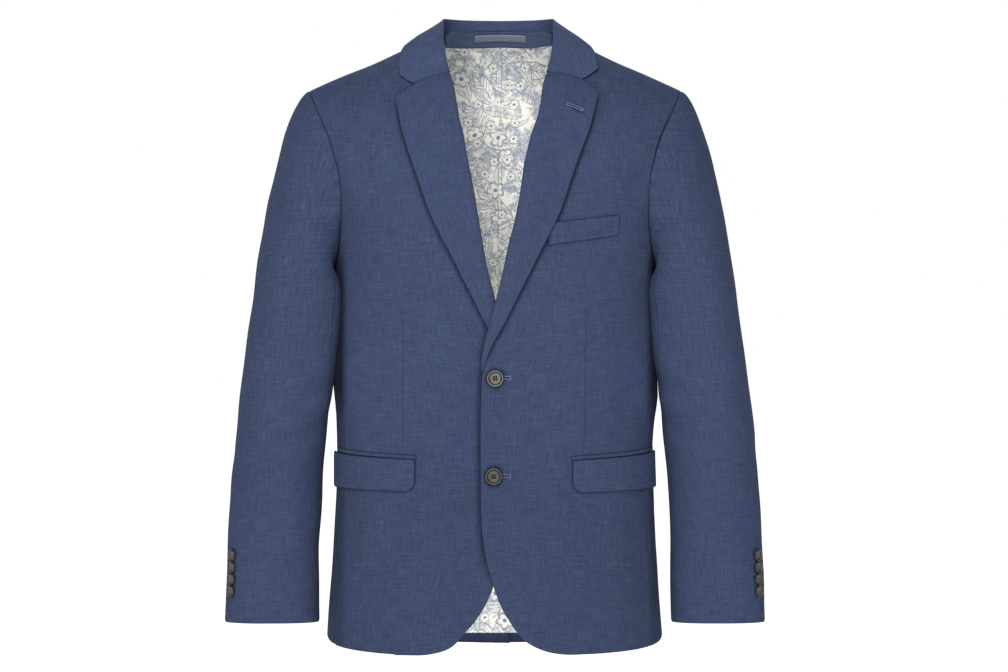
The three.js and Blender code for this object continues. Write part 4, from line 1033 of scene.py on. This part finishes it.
def makeLiningGroup():
    tints = [(key.capitalize(), "NodeSocketColor", (*liningLook[key], 1))
             for key in ("ground", "leaf", "pale", "bloom")]
    tree, inputs, outputs = newGroup("leafPrint", [("Vector", "NodeSocketVector", (0, 0, 0))] + tints,
                                     [("Color", "NodeSocketColor")])
    source = inputs.outputs["Vector"]
    noise = addNode(tree, "ShaderNodeTexNoise", {"Vector": source, "Scale": 60})
    shift = addNode(tree, "ShaderNodeVectorMath", {0: noise.outputs["Color"], 1: (0.006, 0.006, 0.0), 2: source},
                    operation="MULTIPLY_ADD")
    patches = stretchedNoise(tree, source, (34, 34), 2.0, 0.5, 21.0)
    color = mixColor(tree, times(tree, softStep(tree, patches, 0.52, 0.58), 0.7),
                     inputs.outputs["Ground"], inputs.outputs["Pale"])
    lines = addNode(tree, "ShaderNodeTexVoronoi", {"Vector": shift.outputs[0], "Scale": 230}, voronoi_dimensions="2D",
                    feature="DISTANCE_TO_EDGE")
    sprigs = times(tree, softStep(tree, lines.outputs["Distance"], 0.12, 0.03),
                      softStep(tree, patches, 0.50, 0.56))
    color = mixColor(tree, times(tree, sprigs, 0.8), color, inputs.outputs["Leaf"])
    for scale, seed, length, width in ((24, 4.7, 0.66, 0.25), (31, 12.9, 0.62, 0.22), (38, 17.3, 0.60, 0.20)):
        x, y, turn, pick = cellField(tree, shift.outputs[0], scale, seed)
        part, across, ribs = leafMask(tree, x, y, turn, length, width)
        keep = mathNode(tree, "GREATER_THAN", pick, 0.30)
        inside = times(tree, softStep(tree, part, 1.03, 0.97), keep)
        color = mixColor(tree, times(tree, inside, 0.85), color, inputs.outputs["Ground"])
        rim = softStep(tree, part, 0.84, 0.93)
        vein = softStep(tree, mathNode(tree, "ABSOLUTE", across), 0.016, 0.008)
        drawn = mathNode(tree, "MAXIMUM", mathNode(tree, "MAXIMUM", rim, vein),
                         times(tree, softStep(tree, ribs, 0.5, 0.9), 0.75))
        color = mixColor(tree, times(tree, times(tree, inside, drawn), 0.95), color,
                         inputs.outputs["Leaf"])
    for scale, seed, length, width, tint in ((58, 1.3, 0.60, 0.20, "Pale"), (96, 6.1, 0.52, 0.16, "Leaf"),
                                             (50, 5.7, 0.64, 0.13, "Leaf"), (64, 3.9, 0.60, 0.12, "Ground")):
        x, y, turn, pick = cellField(tree, shift.outputs[0], scale, seed)
        part, across, _ = leafMask(tree, x, y, turn, length, width)
        inside = softStep(tree, part, 1.04, 0.92)
        vein = softStep(tree, mathNode(tree, "ABSOLUTE", across), 0.06, 0.22)
        inside = times(tree, inside, mathNode(tree, "MULTIPLY_ADD", vein, 0.65, 0.35))
        keep = mathNode(tree, "GREATER_THAN", pick, 0.22)
        color = mixColor(tree, times(tree, inside, keep), color, inputs.outputs[tint])
    for scale, seed, radius, petals in ((30, 2.2, 0.36, 5), (46, 7.7, 0.32, 6)):
        x, y, turn, pick = cellField(tree, shift.outputs[0], scale, seed)
        part, reach = bloomMask(tree, x, y, turn, radius, petals)
        keep = mathNode(tree, "GREATER_THAN", pick, 0.62)
        body = times(tree, softStep(tree, part, 1.02, 0.94), keep)
        color = mixColor(tree, times(tree, body, 0.75), color, inputs.outputs["Ground"])
        ring = times(tree, times(tree, softStep(tree, part, 0.72, 0.86), body), 0.9)
        color = mixColor(tree, ring, color, inputs.outputs["Bloom"])
        heart = times(tree, softStep(tree, reach, radius * 0.24, radius * 0.18), keep)
        color = mixColor(tree, heart, color, inputs.outputs["Bloom"])
    tree.links.new(color, outputs.inputs["Color"])
    return tree


leafGroup = makeLiningGroup()


def makeLining():
    material, tree, shader, uv, place = newMaterial("printedLining", liningLook["roughness"], 0.35)
    turned = addNode(tree, "ShaderNodeMapping", {"Vector": place, "Rotation": (math.pi / 2, 0, 0)})
    prints = useGroup(tree, leafGroup, turned.outputs[0])
    fade = useGroup(tree, fadeGroup, place, Size=14.0)
    broad = mathNode(tree, "MULTIPLY_ADD", fade.outputs["Fade"], 0.2, 0.9)
    # Painted edge shade along the lining's borders
    paintedEdgeShade = mathNode(tree, "MULTIPLY_ADD", softStep(tree, meshValue(tree, "rim"), 0.1, 1.2), 0.5, 0.5)
    broad = times(tree, broad, paintedEdgeShade)
    printed = mixColor(tree, 1.0, prints.outputs["Color"], broad, "MULTIPLY")
    setInputs(tree, shader, {"Base Color": printed, "Sheen Weight": 0.05})
    fine = stretchedNoise(tree, uv, (2600, 900), 2.0, 0.5, 2.0)
    addBump(tree, shader, fine, 0.12, 0.0002)
    return material


liningMaterial = makeLining()
liningSet = dict(seamOut=3.5, top=6.2, hem=-714, drop=3.0, thick=0.9)
liningCreases = [((14, 0), (10, -300), 7, 1.3), ((-30, -10), (-38, -330), 10, 1.1), ((52, -20), (44, -300), 11, 1.2),
                 ((-70, -60), (-20, -250), 13, -1.2), ((34, -90), (20, -330), 9, -1.0), ((-4, -330), (2, -690), 9, 1.2)]
for label, side in (("Left", 1), ("Right", -1)):
    centre = liningSet["seamOut"] * side
    spots = backSpots(centre, liningSet["top"], liningSet["hem"], 0)
    rows, columns = spots.shape[:2]
    i, j = np.arange(rows)[:, None] / 8, np.arange(columns)[None, :] / columns * 8
    edge = 7 * (1 - smooth(i, 0, 6)) * smooth(j, 2, 4) + 5 * smooth(j, 4, 7) * (i < rows / 8 - 8)
    out = formPoint(spots[..., 0], spots[..., 1])[..., 0]
    pleat = 1.2 * (1 - smooth(np.abs(out - centre), 0, 9))
    vent = 2.6 * (1 - smooth(out, 26, 62)) * smooth(-spots[..., 1], 440, 500)
    spots = np.stack([spots[..., 0], spots[..., 1] - edge], -1)
    spots = resample(spots, denseEdges(rows - 1, 690), denseEdges(columns - 1, 220))
    lift = resample((-liningSet["drop"] - pleat - vent)[..., None], denseEdges(rows - 1, 690),
                    denseEdges(columns - 1, 220))[..., 0]
    points, normals = formGrid(spots, lift, side, 0.6)
    inward = creaseHeight(points[..., 0], points[..., 2], liningCreases)
    points = points + normals * np.minimum(0.4, -np.abs(inward) * 0.9)[..., None]
    points = seamEdges(points, -normals, gap=-0.3, turn=(0.5, 0.5, 0.5, 0.8))
    piece = shell("liningBack" + label, points, normals, liningSet["thick"], liningMaterial)
    finishSheet(piece, "back_lining_" + label.lower())
print("stage: lining")

# Cloth strip inside the back of the neck, with the hanging loop on it
facingSet = dict(half=67, drop=3.0, thick=0.9)
loopSet = dict(start=-31, end=35, low=14.6, high=22.0, bow=2.6, thick=1.0, drop=4.8)


def insideBack(out, height, drop):
    angle = 180 - angleAt(np.abs(out) + 0 * height, height)
    normals = formNormal(angle, height)
    points = formPoint(angle, height) - normals * drop
    mirror = np.where(out < 0, -1.0, 1.0)
    points[..., 0] *= mirror
    normals[..., 0] *= mirror
    return settle(points, 1), normals


out = np.linspace(-facingSet["half"], facingSet["half"], 61)[:, None]
share = np.linspace(0, 1, 13)[None, :]
away = np.abs(out) / facingSet["half"]
high = np.minimum(25.0 - 5 * away ** 2.2, shoulderTop(np.abs(out)) + 0.5)
low = liningSet["top"] + 0.3 - 2.5 * away
points, normals = insideBack(out, high + (low - high) * share, facingSet["drop"])
# A lighter copy of the cloth for the neck strip: painted light on the strip the collar shades
facingPaintedLightLook = dict(clothLook, dark=(0.052, 0.068, 0.140), middle=(0.096, 0.126, 0.226))
facingPaintedLightMaterial = makeCloth("navyLinenFacingPaintedLight", facingPaintedLightLook, darts=False)
piece = shell("neckFacing", points, normals, facingSet["thick"], facingPaintedLightMaterial)
finishSheet(piece, "back_neck_facing")

loopLook = dict(dark=(0.120, 0.136, 0.188), light=(0.190, 0.210, 0.272), roughness=0.38)
loopMaterial, loopTree, loopShader, loopUv, _ = newMaterial("satinTape", loopLook["roughness"], 0.5)
ribs = addNode(loopTree, "ShaderNodeTexWave", {"Vector": loopUv, "Scale": 420, "Distortion": 0.4}, bands_direction="X")
tint = colorRamp(loopTree, ribs.outputs["Fac"], [(0.0, loopLook["dark"]), (1.0, loopLook["light"])])
setInputs(loopTree, loopShader, {"Base Color": tint, "Sheen Weight": 0.3})
addBump(loopTree, loopShader, ribs.outputs["Fac"], 0.35, 0.0001)
t = np.linspace(0, 1, 71)[:, None]
share = np.linspace(0, 1, 9)[None, :]
out = loopSet["start"] + (loopSet["end"] - loopSet["start"]) * t
height = loopSet["high"] + (loopSet["low"] - loopSet["high"]) * share - 1.5 * (2 * t - 1) ** 2
points, normals = insideBack(out, height, loopSet["drop"])
points[..., 1] -= loopSet["bow"] * np.sin(np.pi * t) ** 0.6 + 0.25 * np.cos(np.pi * (share * 2 - 1))
piece = shell("hangerLoop", points, normals, loopSet["thick"], loopMaterial)
finishSheet(piece, "hanger_loop")
print("stage: neck strip and loop")

# Pockets: flaps with a strip above each, and the chest welt
flapSets = {
    "Left": dict(side=1, inner=90.5, outer=192, topIn=-494.5, topOut=-485, lowIn=-532.5, lowOut=-528.5),
    "Right": dict(side=-1, inner=93, outer=191, topIn=-493.5, topOut=-486, lowIn=-531, lowOut=-528.5)}
pocketSet = dict(flapLift=2.9, flapThick=1.6, jetHeight=4.4, jetLift=1.7, jetThick=1.3, weltLift=2.1, weltThick=1.4,
                 corner=7.0, wide=118)


def boxSpots(box, rows, columns, corner=0.0):
    u, v = np.meshgrid(columns, rows)
    width = box["outer"] - box["inner"]
    tall = box["topIn"] - box["lowIn"]
    pull = corner * np.clip(1 - u * pocketSet["wide"] / corner, 0, 1) ** 2 * (v ** 3) / tall if corner else 0
    top = box["topIn"] + (box["topOut"] - box["topIn"]) * u
    low = box["lowIn"] + (box["lowOut"] - box["lowIn"]) * u + pull * tall * 0.8
    height = top + (low - top) * v
    start, stop = angleAt(box["inner"], height), angleAt(box["outer"], height)
    inset = corner * np.clip(1 - (1 - v) * tall / corner, 0, 1) ** 2 * 0.35 * (1 - u) ** 6 if corner else 0
    angle = start + (stop - start) * u + inset / width * (stop - start) * 0.7
    return np.stack([angle, height], -1)


def makeOnFront(name, node, side, box, lift, thick, corner=0.0, bulge=0.0, turn=0.9):
    rows = denseEdges(14 if box["topIn"] - box["lowIn"] > 15 else 6, box["topIn"] - box["lowIn"], (0.4, 1.0, 1.8))
    columns = denseEdges(46, pocketSet["wide"], (0.4, 1.0, 1.8))
    spots = boxSpots(box, rows, columns, corner)
    v = np.linspace(0, 1, len(rows))[:, None]
    u = np.array(columns)[None, :]
    rise = bulge * np.sin(np.pi * np.minimum(1, v * 0.75 + 0.2)) * (1 + 0.3 * np.sin(9 * u + side))
    points, normals = formGrid(spots, lift + rise, side)
    points = seamEdges(points, normals, gap=0.0, turn=(turn,) * 4, reach=2.0)
    piece = shell(name, points, normals, thick, clothMaterial, None, bodyGrain(points))
    finishSheet(piece, node)


for label, box in flapSets.items():
    side = box["side"]
    makeOnFront("flap" + label, "flap_" + label.lower(), side, box, pocketSet["flapLift"], pocketSet["flapThick"],
                pocketSet["corner"], 0.8)
    rise = pocketSet["jetHeight"] + 0.6
    strip = dict(inner=box["inner"] - 1.5, outer=box["outer"] - 4, topIn=box["topIn"] + rise,
                 topOut=box["topOut"] + rise, lowIn=box["topIn"] - 0.3, lowOut=box["topOut"] - 0.3)
    makeOnFront("jet" + label, "jet_" + label.lower(), side, strip, pocketSet["jetLift"], pocketSet["jetThick"],
                0.0, 0.2, 0.8)
welt = dict(inner=62, outer=145.5, topIn=-217.5, topOut=-207, lowIn=-244, lowOut=-231)
makeOnFront("chestWelt", "chest_welt", 1, welt, pocketSet["weltLift"], pocketSet["weltThick"], 0.0, 0.4)
print("stage: pockets")

# Buttons turned with a raised rim, a groove, a dished middle and four holes
# groove and rim are near-black: painted shade in the groove and painted shadow round the outer edge
buttonLook = dict(roughness=0.48, middle=(0.062, 0.057, 0.050), slope=(0.030, 0.027, 0.024),
                  groove=(0.003, 0.003, 0.003), ring=(0.106, 0.098, 0.084), crest=(0.112, 0.105, 0.090),
                  rim=(0.012, 0.011, 0.010))


def makeButtonMaterial():
    material, tree, shader, _, place = newMaterial("hornButton", buttonLook["roughness"], 0.22)
    base = colorRamp(tree, meshValue(tree, "radial"), [
        (0.0, buttonLook["middle"]), (0.56, buttonLook["middle"]), (0.64, buttonLook["slope"]),
        (0.67, buttonLook["groove"]), (0.785, buttonLook["groove"]), (0.815, buttonLook["ring"]),
        (0.87, buttonLook["crest"]), (0.905, buttonLook["rim"]), (1.0, buttonLook["rim"])])
    streak = stretchedNoise(tree, place, (90, 260), 4.0, 0.6, 4.0)
    shade = mathNode(tree, "MULTIPLY_ADD", streak, 0.8, 0.6)
    shade = times(tree, shade, meshValue(tree, "tone"))
    marbled = mixColor(tree, 1.0, base, shade, "MULTIPLY")
    holed = mixColor(tree, meshValue(tree, "hole"), marbled, (0.006, 0.005, 0.005, 1))
    setInputs(tree, shader, {"Base Color": holed, "Coat Weight": 0.05, "Coat Roughness": 0.2})
    addBump(tree, shader, streak, 0.08, 0.0002)
    return material


buttonMaterial = makeButtonMaterial()


def makeButton(name, node, point, normal, size):
    radius, thick = size["diameter"] / 2, size["thick"]
    profile = reader([r * radius for r in (0, 0.35, 0.62, 0.70, 0.745, 0.80, 0.87, 0.94, 1.0)],
                     [thick * h for h in (0.52, 0.55, 0.66, 0.70, 0.62, 0.90, 1.0, 0.94, 0.62)])
    rings = np.concatenate([np.linspace(0.04, 0.6, size["rings"]), np.linspace(0.62, 1.0, 16)]) * radius
    turn = np.arange(size["segments"]) * 2 * math.pi / size["segments"]
    r, a = np.meshgrid(rings, turn, indexing="ij")
    x, y = r * np.cos(a), r * np.sin(a)
    hole = np.zeros(x.shape)
    for k in range(4):
        angle = math.pi / 4 + k * math.pi / 2
        away = np.hypot(x - size["holeAt"] * math.cos(angle), y - size["holeAt"] * math.sin(angle))
        hole = np.maximum(hole, 1 - smooth(away, size["hole"] * 0.75, size["hole"] * 1.15))
    height = profile(r) - hole * thick * 0.4
    low = [(1.0, 0.34), (0.93, 0.06), (0.8, 0.0)]
    lowX = [np.stack([radius * k * np.cos(turn), radius * k * np.sin(turn), np.full_like(turn, thick * h)], -1)
            for k, h in low]
    verts = np.concatenate([np.stack([x, y, height], -1).reshape(-1, 3)] + lowX + [
        np.array([[0, 0, float(profile(0.0))], [0, 0, 0]])])
    count, n = size["segments"], len(rings) + len(low)
    faces = []
    for i in range(n - 1):
        for k in range(count):
            m = (k + 1) % count
            faces.append((i * count + k, (i + 1) * count + k, (i + 1) * count + m, i * count + m))
    top, bottom = n * count, n * count + 1
    for k in range(count):
        m = (k + 1) % count
        faces.append((top, k, m))
        faces.append((bottom, (n - 1) * count + m, (n - 1) * count + k))
    z = Vector(normal)
    rotation = z.to_track_quat("Z", "Y").to_matrix().to_4x4()
    upright = Matrix.Translation(Vector(point)) @ rotation
    mesh = bpy.data.meshes.new(name)
    mesh.from_pydata([list((upright @ Vector(v)) * mm) for v in verts], [], faces)
    floatLayer(mesh, "tone", np.full(len(verts), size["tone"]))
    floatLayer(mesh, "radial", np.hypot(verts[:, 0], verts[:, 1]) / radius)
    floatLayer(mesh, "hole", np.concatenate([hole.ravel(), np.zeros(len(verts) - hole.size)]))
    mesh.materials.append(buttonMaterial)
    piece = smoothObject(name, mesh, len(faces))
    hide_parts(node)
    rideRoot(piece)


frontButton = dict(diameter=20.5, thick=4.0, rings=22, segments=96, holeAt=1.95, hole=1.25, seat=0.5)
cuffButton = dict(diameter=13.9, thick=3.2, rings=14, segments=56, holeAt=1.35, hole=0.62, tone=0.84, seat=0.55)
cuffButtonSet = dict(first=-609, step=14.2, angle=54, count=4)
frontTones = (1.12, 0.62)
for k, (out, height) in enumerate(frontButtonSpots):
    angle = float(angleAt(out, height))
    points, normals = formGrid(np.array([[[angle, height]]]), np.array([[frontButton["seat"]]]), 1)
    makeButton(f"frontButton{k + 1}", f"front_button_{k + 1}", points[0, 0], normals[0, 0],
               dict(frontButton, tone=frontTones[k]))
for label, side in (("left", 1), ("right", -1)):
    for k in range(cuffButtonSet["count"]):
        height = cuffButtonSet["first"] - cuffButtonSet["step"] * k
        here = sleevePoint(cuffButtonSet["angle"], height)
        around = sleevePoint(cuffButtonSet["angle"] + 3, height) - sleevePoint(cuffButtonSet["angle"] - 3, height)
        normal = unit(np.array([-around[1], around[0], 0]))
        normal = -normal if normal[1] > 0 else normal
        point = settle((here + normal * cuffButton["seat"])[None], side)[0]
        makeButton(f"cuffButton{label.capitalize()}{k + 1}", f"cuff_button_{label}_{k + 1}", point, flip(normal, side),
                   cuffButton)
print("stage: buttons")


# Thread bits set across a path, for buttonholes and bar tacks
def makeStitchNodes():
    tree = bpy.data.node_groups.new("stitchRow", "GeometryNodeTree")
    tree.is_modifier = True
    for label, kind, value in (("Geometry", "NodeSocketGeometry", None), ("Spacing", "NodeSocketFloat", 0.0007),
                               ("Reach", "NodeSocketFloat", 0.0009), ("Thread", "NodeSocketFloat", 0.0003),
                               ("Material", "NodeSocketMaterial", None)):
        socket = tree.interface.new_socket(name=label, in_out="INPUT", socket_type=kind)
        if value is not None:
            socket.default_value = value
    tree.interface.new_socket(name="Geometry", in_out="OUTPUT", socket_type="NodeSocketGeometry")
    start, end = tree.nodes.new("NodeGroupInput"), tree.nodes.new("NodeGroupOutput")
    thread = start.outputs["Thread"]
    curve = addNode(tree, "GeometryNodeMeshToCurve", {0: start.outputs["Geometry"]})
    spaced = addNode(tree, "GeometryNodeResampleCurve", {"Curve": curve.outputs[0], "Length": start.outputs["Spacing"]},
                     mode="LENGTH")
    bit = addNode(tree, "GeometryNodeMeshUVSphere", {"Segments": 8, "Rings": 6, "Radius": 1.0})
    scale = addNode(tree, "ShaderNodeCombineXYZ", {0: thread, 1: thread, 2: start.outputs["Reach"]})
    sized = addNode(tree, "GeometryNodeTransform", {"Geometry": bit.outputs["Mesh"], "Scale": scale.outputs[0]})
    tangent = addNode(tree, "GeometryNodeInputTangent")
    turn = addNode(tree, "FunctionNodeAlignEulerToVector", {"Vector": tangent.outputs[0]}, axis="X")
    put = addNode(tree, "GeometryNodeInstanceOnPoints", {"Points": spaced.outputs[0], "Instance": sized.outputs[0],
                                                         "Rotation": turn.outputs[0]})
    real = addNode(tree, "GeometryNodeRealizeInstances", {0: put.outputs[0]})
    dress = addNode(tree, "GeometryNodeSetMaterial", {"Geometry": real.outputs[0],
                                                      "Material": start.outputs["Material"]})
    tree.links.new(dress.outputs[0], end.inputs[0])
    return tree


stitchNodes = makeStitchNodes()
threadLook = dict(dark=(0.062, 0.084, 0.165), light=(0.112, 0.146, 0.258), roughness=0.6, specular=0.3)
# Near-black sheet for the buttonhole slits: painted shade
slitPaintedShadeLook = dict(dark=(0.006, 0.008, 0.018), light=(0.012, 0.016, 0.034), roughness=0.95, specular=0.05)


def makeThread(name, look):
    material, tree, shader, _, place = newMaterial(name, look["roughness"], look["specular"])
    tone = colorRamp(tree, stretchedNoise(tree, place, (1800, 1800)), [(0.3, look["dark"]), (0.7, look["light"])])
    tree.links.new(tone, shader.inputs["Base Color"])
    return material


threadMaterial = makeThread("silkThread", threadLook)
slitPaintedShadeMaterial = makeThread("paintedShadeSlit", slitPaintedShadeLook)


def stitchAlong(name, paths, spacing, reach, thread):
    verts, edges = [], []
    for path in paths:
        first = len(verts)
        verts += [list(p) for p in np.array(path) * mm]
        edges += [(first + i, first + i + 1) for i in range(len(path) - 1)]
    mesh = bpy.data.meshes.new(name)
    mesh.from_pydata(verts, edges, [])
    piece = addObject(name, mesh)
    modifier = piece.modifiers.new("stitches", "NODES")
    modifier.node_group = stitchNodes
    values = dict(Spacing=spacing * mm, Reach=reach * mm, Thread=thread * mm, Material=threadMaterial)
    for item in stitchNodes.interface.items_tree:
        if item.in_out == "INPUT" and item.name in values:
            modifier[item.identifier] = values[item.name]
    evaluated = piece.evaluated_get(bpy.context.evaluated_depsgraph_get())
    made = bpy.data.meshes.new_from_object(evaluated)
    piece.modifiers.clear()
    piece.data = made
    rideRoot(piece)


# Sewn buttonhole on the cloth: two thread rows, a near-black sheet between them as painted shade in the slit and
# eyelet, an eyelet and a bar tack
holeSet = dict(spacing=0.6, reach=0.52, thread=0.4, slitThick=0.3)


def makeHole(name, start, end, lift, width, eyelet, tack):
    start, end = np.array(start, float), np.array(end, float)
    along = unit(end - start)
    across = np.array([-along[1], along[0]])

    def onCloth(spot, extra=0.0):
        points, _ = formGrid(spotsAt(spot[..., 0], spot[..., 1]), np.full(spot.shape[:-1], lift + extra), 1)
        return points

    t = np.linspace(0, 1, 12)[:, None]
    rows = [onCloth(start + (end - start) * t + across * width * k) for k in (-1, 1)]
    if eyelet:
        a = np.linspace(0, 2 * math.pi, 16)[:, None]
        rows.append(onCloth(start + along * 0.2 + (np.cos(a) * along + np.sin(a) * across) * eyelet))
    if tack:
        rows.append(onCloth(end + across * tack * np.linspace(-1, 1, 8)[:, None], 0.15))
    stitchAlong(name, rows, holeSet["spacing"], holeSet["reach"], holeSet["thread"])
    s = np.array([-1.0, 1.0])[None, :, None]
    wide = width * 0.68 + (max(eyelet, width) * 0.85 - width * 0.68) * (smooth(t, 0.02, 0.1) - smooth(t, 0.3, 0.4))
    flatSpots = (start + (end - start) * t)[:, None] + across * wide[:, None] * s
    slit = onCloth(flatSpots.reshape(-1, 2), 0.12).reshape(12, 2, 3)
    forward = np.broadcast_to(np.array([0.0, -1.0, 0.0]), slit.shape)
    piece = shell(name + "Slit", slit, forward, holeSet["slitThick"], slitPaintedShadeMaterial)
    rideRoot(piece)


makeHole("frontHole1", (11.2, -397.6), (18.4, -398.2), 0.6, 1.45, 0, 2.6)
makeHole("frontHole2", (9.0, -512.0), (18.2, -512.6), 0.6, 1.45, 0, 2.6)
makeHole("lapelHole", (98.5, -88.4), (81.2, -81.4), 9.2, 1.1, 1.6, 1.3)
print("stage: buttonholes")

# Floor far below and behind, pale and plain
floorMesh = bpy.data.meshes.new("floor")
floorMesh.from_pydata([(-30, -12, -1.35), (30, -12, -1.35), (30, 40, -1.35), (-30, 40, -1.35)], [], [(0, 1, 2, 3)])
floor = addObject("floor", floorMesh)
floorMaterial = bpy.data.materials.new("paleFloor")
floorMaterial.use_nodes = True
setInputs(floorMaterial.node_tree, floorMaterial.node_tree.nodes["Principled BSDF"], {
    "Base Color": (0.9, 0.9, 0.9, 1), "Emission Color": (1, 1, 1, 1), "Emission Strength": 1.0})
floorMesh.materials.append(floorMaterial)
floor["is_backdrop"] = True

# Soft studio light: a strong box above, one in front, one at each side, one behind and a weak one from below
lights = [dict(name="front", place=(-0.45, -3.3, 0.65), size=(1.2, 0.9), power=46),
          dict(name="top", place=(-0.3, -2.2, 2.3), size=(2.4, 1.2), power=112),
          dict(name="low", place=(-0.1, -2.2, -1.2), size=(0.8, 0.4), power=7.5),
          dict(name="left", place=(-2.8, -2.6, 0.2), size=(1.0, 1.6), power=34),
          dict(name="right", place=(2.8, -2.6, 0.2), size=(1.0, 1.6), power=31),
          dict(name="back", place=(0.0, 3.4, 2.4), size=(2.6, 1.6), power=90)]
for item in lights:
    data = bpy.data.lights.new(item["name"], "AREA")
    data.shape = "RECTANGLE"
    data.size, data.size_y = item["size"]
    data.energy = item["power"]
    lamp = addObject(item["name"], data)
    lamp.location = item["place"]
    lamp.rotation_euler = (Vector((0, 0, -0.35)) - Vector(item["place"])).to_track_quat("-Z", "Y").to_euler()
world = bpy.data.worlds.new("studio")
world.use_nodes = True
sky = world.node_tree
background = sky.nodes["Background"]
setInputs(sky, background, {"Color": (1, 1, 1, 1), "Strength": 0.16})
seen = addNode(sky, "ShaderNodeBackground", {"Color": (1, 1, 1, 1), "Strength": 1.0})
path = addNode(sky, "ShaderNodeLightPath")
mixed = addNode(sky, "ShaderNodeMixShader", {0: path.outputs["Is Camera Ray"], 1: background.outputs[0],
                                             2: seen.outputs[0]})
sky.links.new(mixed.outputs[0], sky.nodes["World Output"].inputs["Surface"])
bpy.context.scene.world = world
bpy.context.scene.view_settings.view_transform = "Standard"
print("stage: light and floor")


def plain(box):
    return [[float(v) for v in corner] for corner in box]


{"cad": plain(startBox), "visual": plain(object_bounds())}
